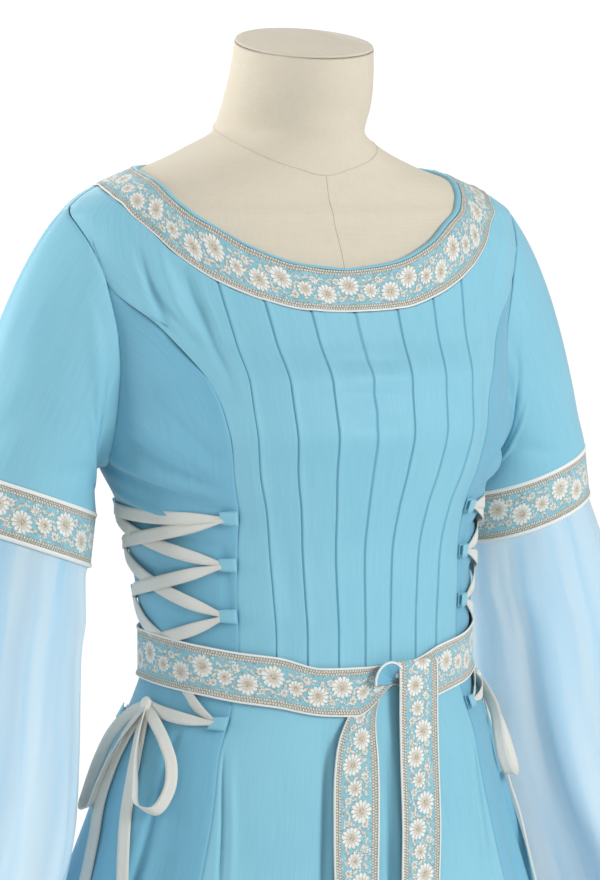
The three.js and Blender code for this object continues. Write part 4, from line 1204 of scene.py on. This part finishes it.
TIE_LEFT = table(
    "row z out middle wide",
    (0, 1008, 4.4, 37, 30), (1, 1017, 5.4, 37, 33), (2, 1020.5, 7.4, 38, 35), (3, 1017, 9.4, 38.5, 35),
    (4, 1004, 9.8, 38.5, 35), (5, 985, 9.0, 38.5, 35), (6, 960, 7.6, 39, 35), (7, 920, 6.6, 39, 35),
    (8, 860, 6.0, 38.5, 35), (9, 770, 5.4, 38, 35), (10, 690, 5.0, 38.5, 35), (11, 622, 4.6, 38.5, 35),
)
TIE_RIGHT = table(
    "row z out middle wide",
    (0, 1000, 1.0, 4, 14), (1, 992, 1.4, 0, 18), (2, 984, 2.2, -4, 21), (3, 974, 4.4, -8, 25),
    (4, 964, 6.0, -10.5, 29), (5, 948, 6.8, -12, 33), (6, 920, 6.8, -13.5, 35), (7, 860, 6.2, -15.5, 35),
    (8, 770, 5.4, -17, 35), (9, 690, 5.0, -17, 35), (10, 622, 4.6, -16, 35),
)


def down_measure(place):
    def measure(share, row):
        _, v = flat_measure(place)(share, row)
        return v, share * RIBBON_WIDTH
    return measure


for name, rows, steps in (("belt_tie_left", TIE_LEFT, 150), ("belt_tie_right", TIE_RIGHT, 130)):
    cloth_piece(
        f"{name}_cloth", RIBBON_ROWS, np.linspace(rows["row"][-1], 0, steps), tie_place(rows), FLORAL_RIBBON,
        "floral_ribbon", [name], down_measure, held="hung", thick=1.1)


WAIST_HALF = 131


def knot_fold_place(turn, deep):
    """The blue back of the ribbon where it turns over the belt: a funnel that opens to the front."""
    around = math.radians(188) - math.radians(150) * turn
    wide = 1 - 0.86 * deep ** 0.8
    x = 13.5 + 9 * deep + 11.5 * wide * np.cos(around)
    z = 1006.5 - 4 * deep + 14.5 * wide * np.sin(around)
    ripple = 0.9 * np.sin(9 * turn + 1) * np.sin(math.pi * np.clip(deep, 0, 1))
    angle = np.degrees(np.arcsin(x / WAIST_HALF))
    return raised(body, angle, z, CLOTH + 10.5 - 7.5 * np.sin(deep * math.pi / 2) + ripple)


# the darker satin inside the knot's funnel is painted shade
cloth_piece("belt_knot_fold", np.linspace(1, 0, 41), np.linspace(0, 1, 17), knot_fold_place, PAINTED_SHADE_SATIN,
            "floral_ribbon", ["belt_knot"], held="folded", thick=0.9)


def round_cord(name, line, radius, material, slot, sides=8):
    """A thin round cord along line."""
    run = unit(np.gradient(line, axis=0))
    first = unit(np.cross(run, (0.13, -1.0, 0.21)))
    second = np.cross(run, first)

    def place(turn, step):
        k = np.rint(step).astype(int)
        a = 2 * math.pi * turn
        return line[k] + radius * (first[k] * np.cos(a)[:, None] + second[k] * np.sin(a)[:, None])

    return finish_piece(name, sheet_mesh(
        np.linspace(0, 1, sides + 1), np.arange(len(line)), place, flat_measure(place),
    ), material, slot, wrap=True)


edge = np.linspace(0, 1, 40)
round_cord("belt_knot_piping", knot_fold_place(edge, 0 * edge), 0.95, WHITE_CORD, "floral_ribbon")

# ---- dress form ----
FORM_TOP = 1484


def form_place(angle, z):
    inset = np.interp(z, (900, 1230, 1285, 1330, 1352, 1410, 1500), (9.0, 7.0, 4.0, 3.2, 1.1, 0.8, 0.8))
    point = raised(body, angle, z, -inset)
    point[..., 0] = np.clip(point[..., 0], -171, 171)
    point[..., 2] = np.where(z < 1300, z, point[..., 2])
    tilt = np.clip((z - 1400) / (FORM_TOP - 1400), 0, 1)
    point[..., 2] += tilt * tilt * (3 - 2 * tilt) * (0.24 * point[..., 1] + 0.05 * point[..., 0])
    return point


form_mesh = sheet_mesh(np.linspace(-180, 180, 145), np.concatenate([
    np.linspace(925, 1330, 70)[:-1], np.linspace(1330, 1400, 50)[:-1], np.linspace(1400, FORM_TOP, 40),
]), form_place, flat_measure(form_place))
bmesh.ops.remove_doubles(form_mesh, verts=form_mesh.verts, dist=0.01)
bmesh.ops.holes_fill(form_mesh, edges=[e for e in form_mesh.edges if e.is_boundary], sides=0)
rims = [e for e in form_mesh.edges if e.is_manifold and e.calc_face_angle(0) > 0.9 and e.verts[0].co.z > 1450]
bmesh.ops.bevel(form_mesh, geom=rims, offset=2.2, segments=4, profile=0.5, affect="EDGES", material=-1)
finish_piece("dress_form_linen", form_mesh, FORM_LINEN, "linen", ["dress_form"])

# The form's neck seam and its centre seams, as fine ridges of thread.
NECK_SEAM = table(
    "angle z",
    (-180, 1424), (-140, 1423), (-101, 1417), (-55, 1406), (-34, 1397.5), (-20, 1390.5), (-10.5, 1385.8),
    (0, 1381), (10.5, 1385.8), (20, 1390.5), (34, 1397.5), (55, 1406), (101, 1417), (140, 1423), (180, 1424),
)


def on_form(angle, z):
    return raised(form_place, angle, z, 0.1 + 0 * z)


turn = np.linspace(-180, 180, 181)
down = np.linspace(0, 1, 60)
round_cord("neck_seam", on_form(turn, along(NECK_SEAM, "angle", "z", turn)), 0.32, SEAM_THREAD, "linen", 6)
round_cord("front_seam", on_form(0 * down, 1381 - 96 * down), 0.3, SEAM_THREAD, "linen", 6)
round_cord("back_seam", on_form(180 + 0 * down, 1424 - 60 * down), 0.3, SEAM_THREAD, "linen", 6)

for node in ("stand_pole", "stand_base"):
    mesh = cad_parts[node].data
    mesh.materials.clear()
    mesh.materials.append(STAND_ENAMEL)


# ---- floor and light ----
def stage_and_light():
    bm = bmesh.new()
    bmesh.ops.create_grid(bm, x_segments=1, y_segments=1, size=2.3)
    mesh = bpy.data.meshes.new("floor")
    bm.to_mesh(mesh)
    bm.free()
    floor = bpy.data.objects.new("floor", mesh)
    bpy.context.scene.collection.objects.link(floor)
    paint = Finish("floor_white", Roughness=0.9)
    paint.put(paint.shader, Base_Color=paint.blend(paint.noise(3.0), (0.80, 0.80, 0.80), (0.84, 0.84, 0.84)))
    mesh.materials.append(paint.material)

    world = bpy.data.worlds.new("white_room")
    world.use_nodes = True
    nodes, links = world.node_tree.nodes, world.node_tree.links
    seen = nodes.new("ShaderNodeLightPath")
    glow = nodes.new("ShaderNodeMix")
    glow.data_type = "FLOAT"
    glow.inputs[2].default_value, glow.inputs[3].default_value = 0.54, 1.05
    links.new(seen.outputs["Is Camera Ray"], glow.inputs[0])
    links.new(glow.outputs[0], nodes["Background"].inputs["Strength"])
    nodes["Background"].inputs["Color"].default_value = (1, 1, 1, 1)
    bpy.context.scene.world = world

    for name, place, size, power in (
        ("key_light", (1.5, -3.0, 2.3), 1.2, 68),
        ("left_window", (-2.6, 1.4, 1.8), 1.6, 76),
        ("back_light", (0.6, 2.4, 2.6), 1.8, 22),
    ):
        light = bpy.data.lights.new(name, "AREA")
        light.size, light.energy = size, power
        lamp = bpy.data.objects.new(name, light)
        lamp.location = place
        lamp.rotation_mode = "QUATERNION"
        lamp.rotation_quaternion = (Vector((0, 0, 1.1)) - Vector(place)).to_track_quat("-Z", "Y")
        bpy.context.scene.collection.objects.link(lamp)


stage_and_light()
bpy.context.scene.view_settings.view_transform = "Standard"
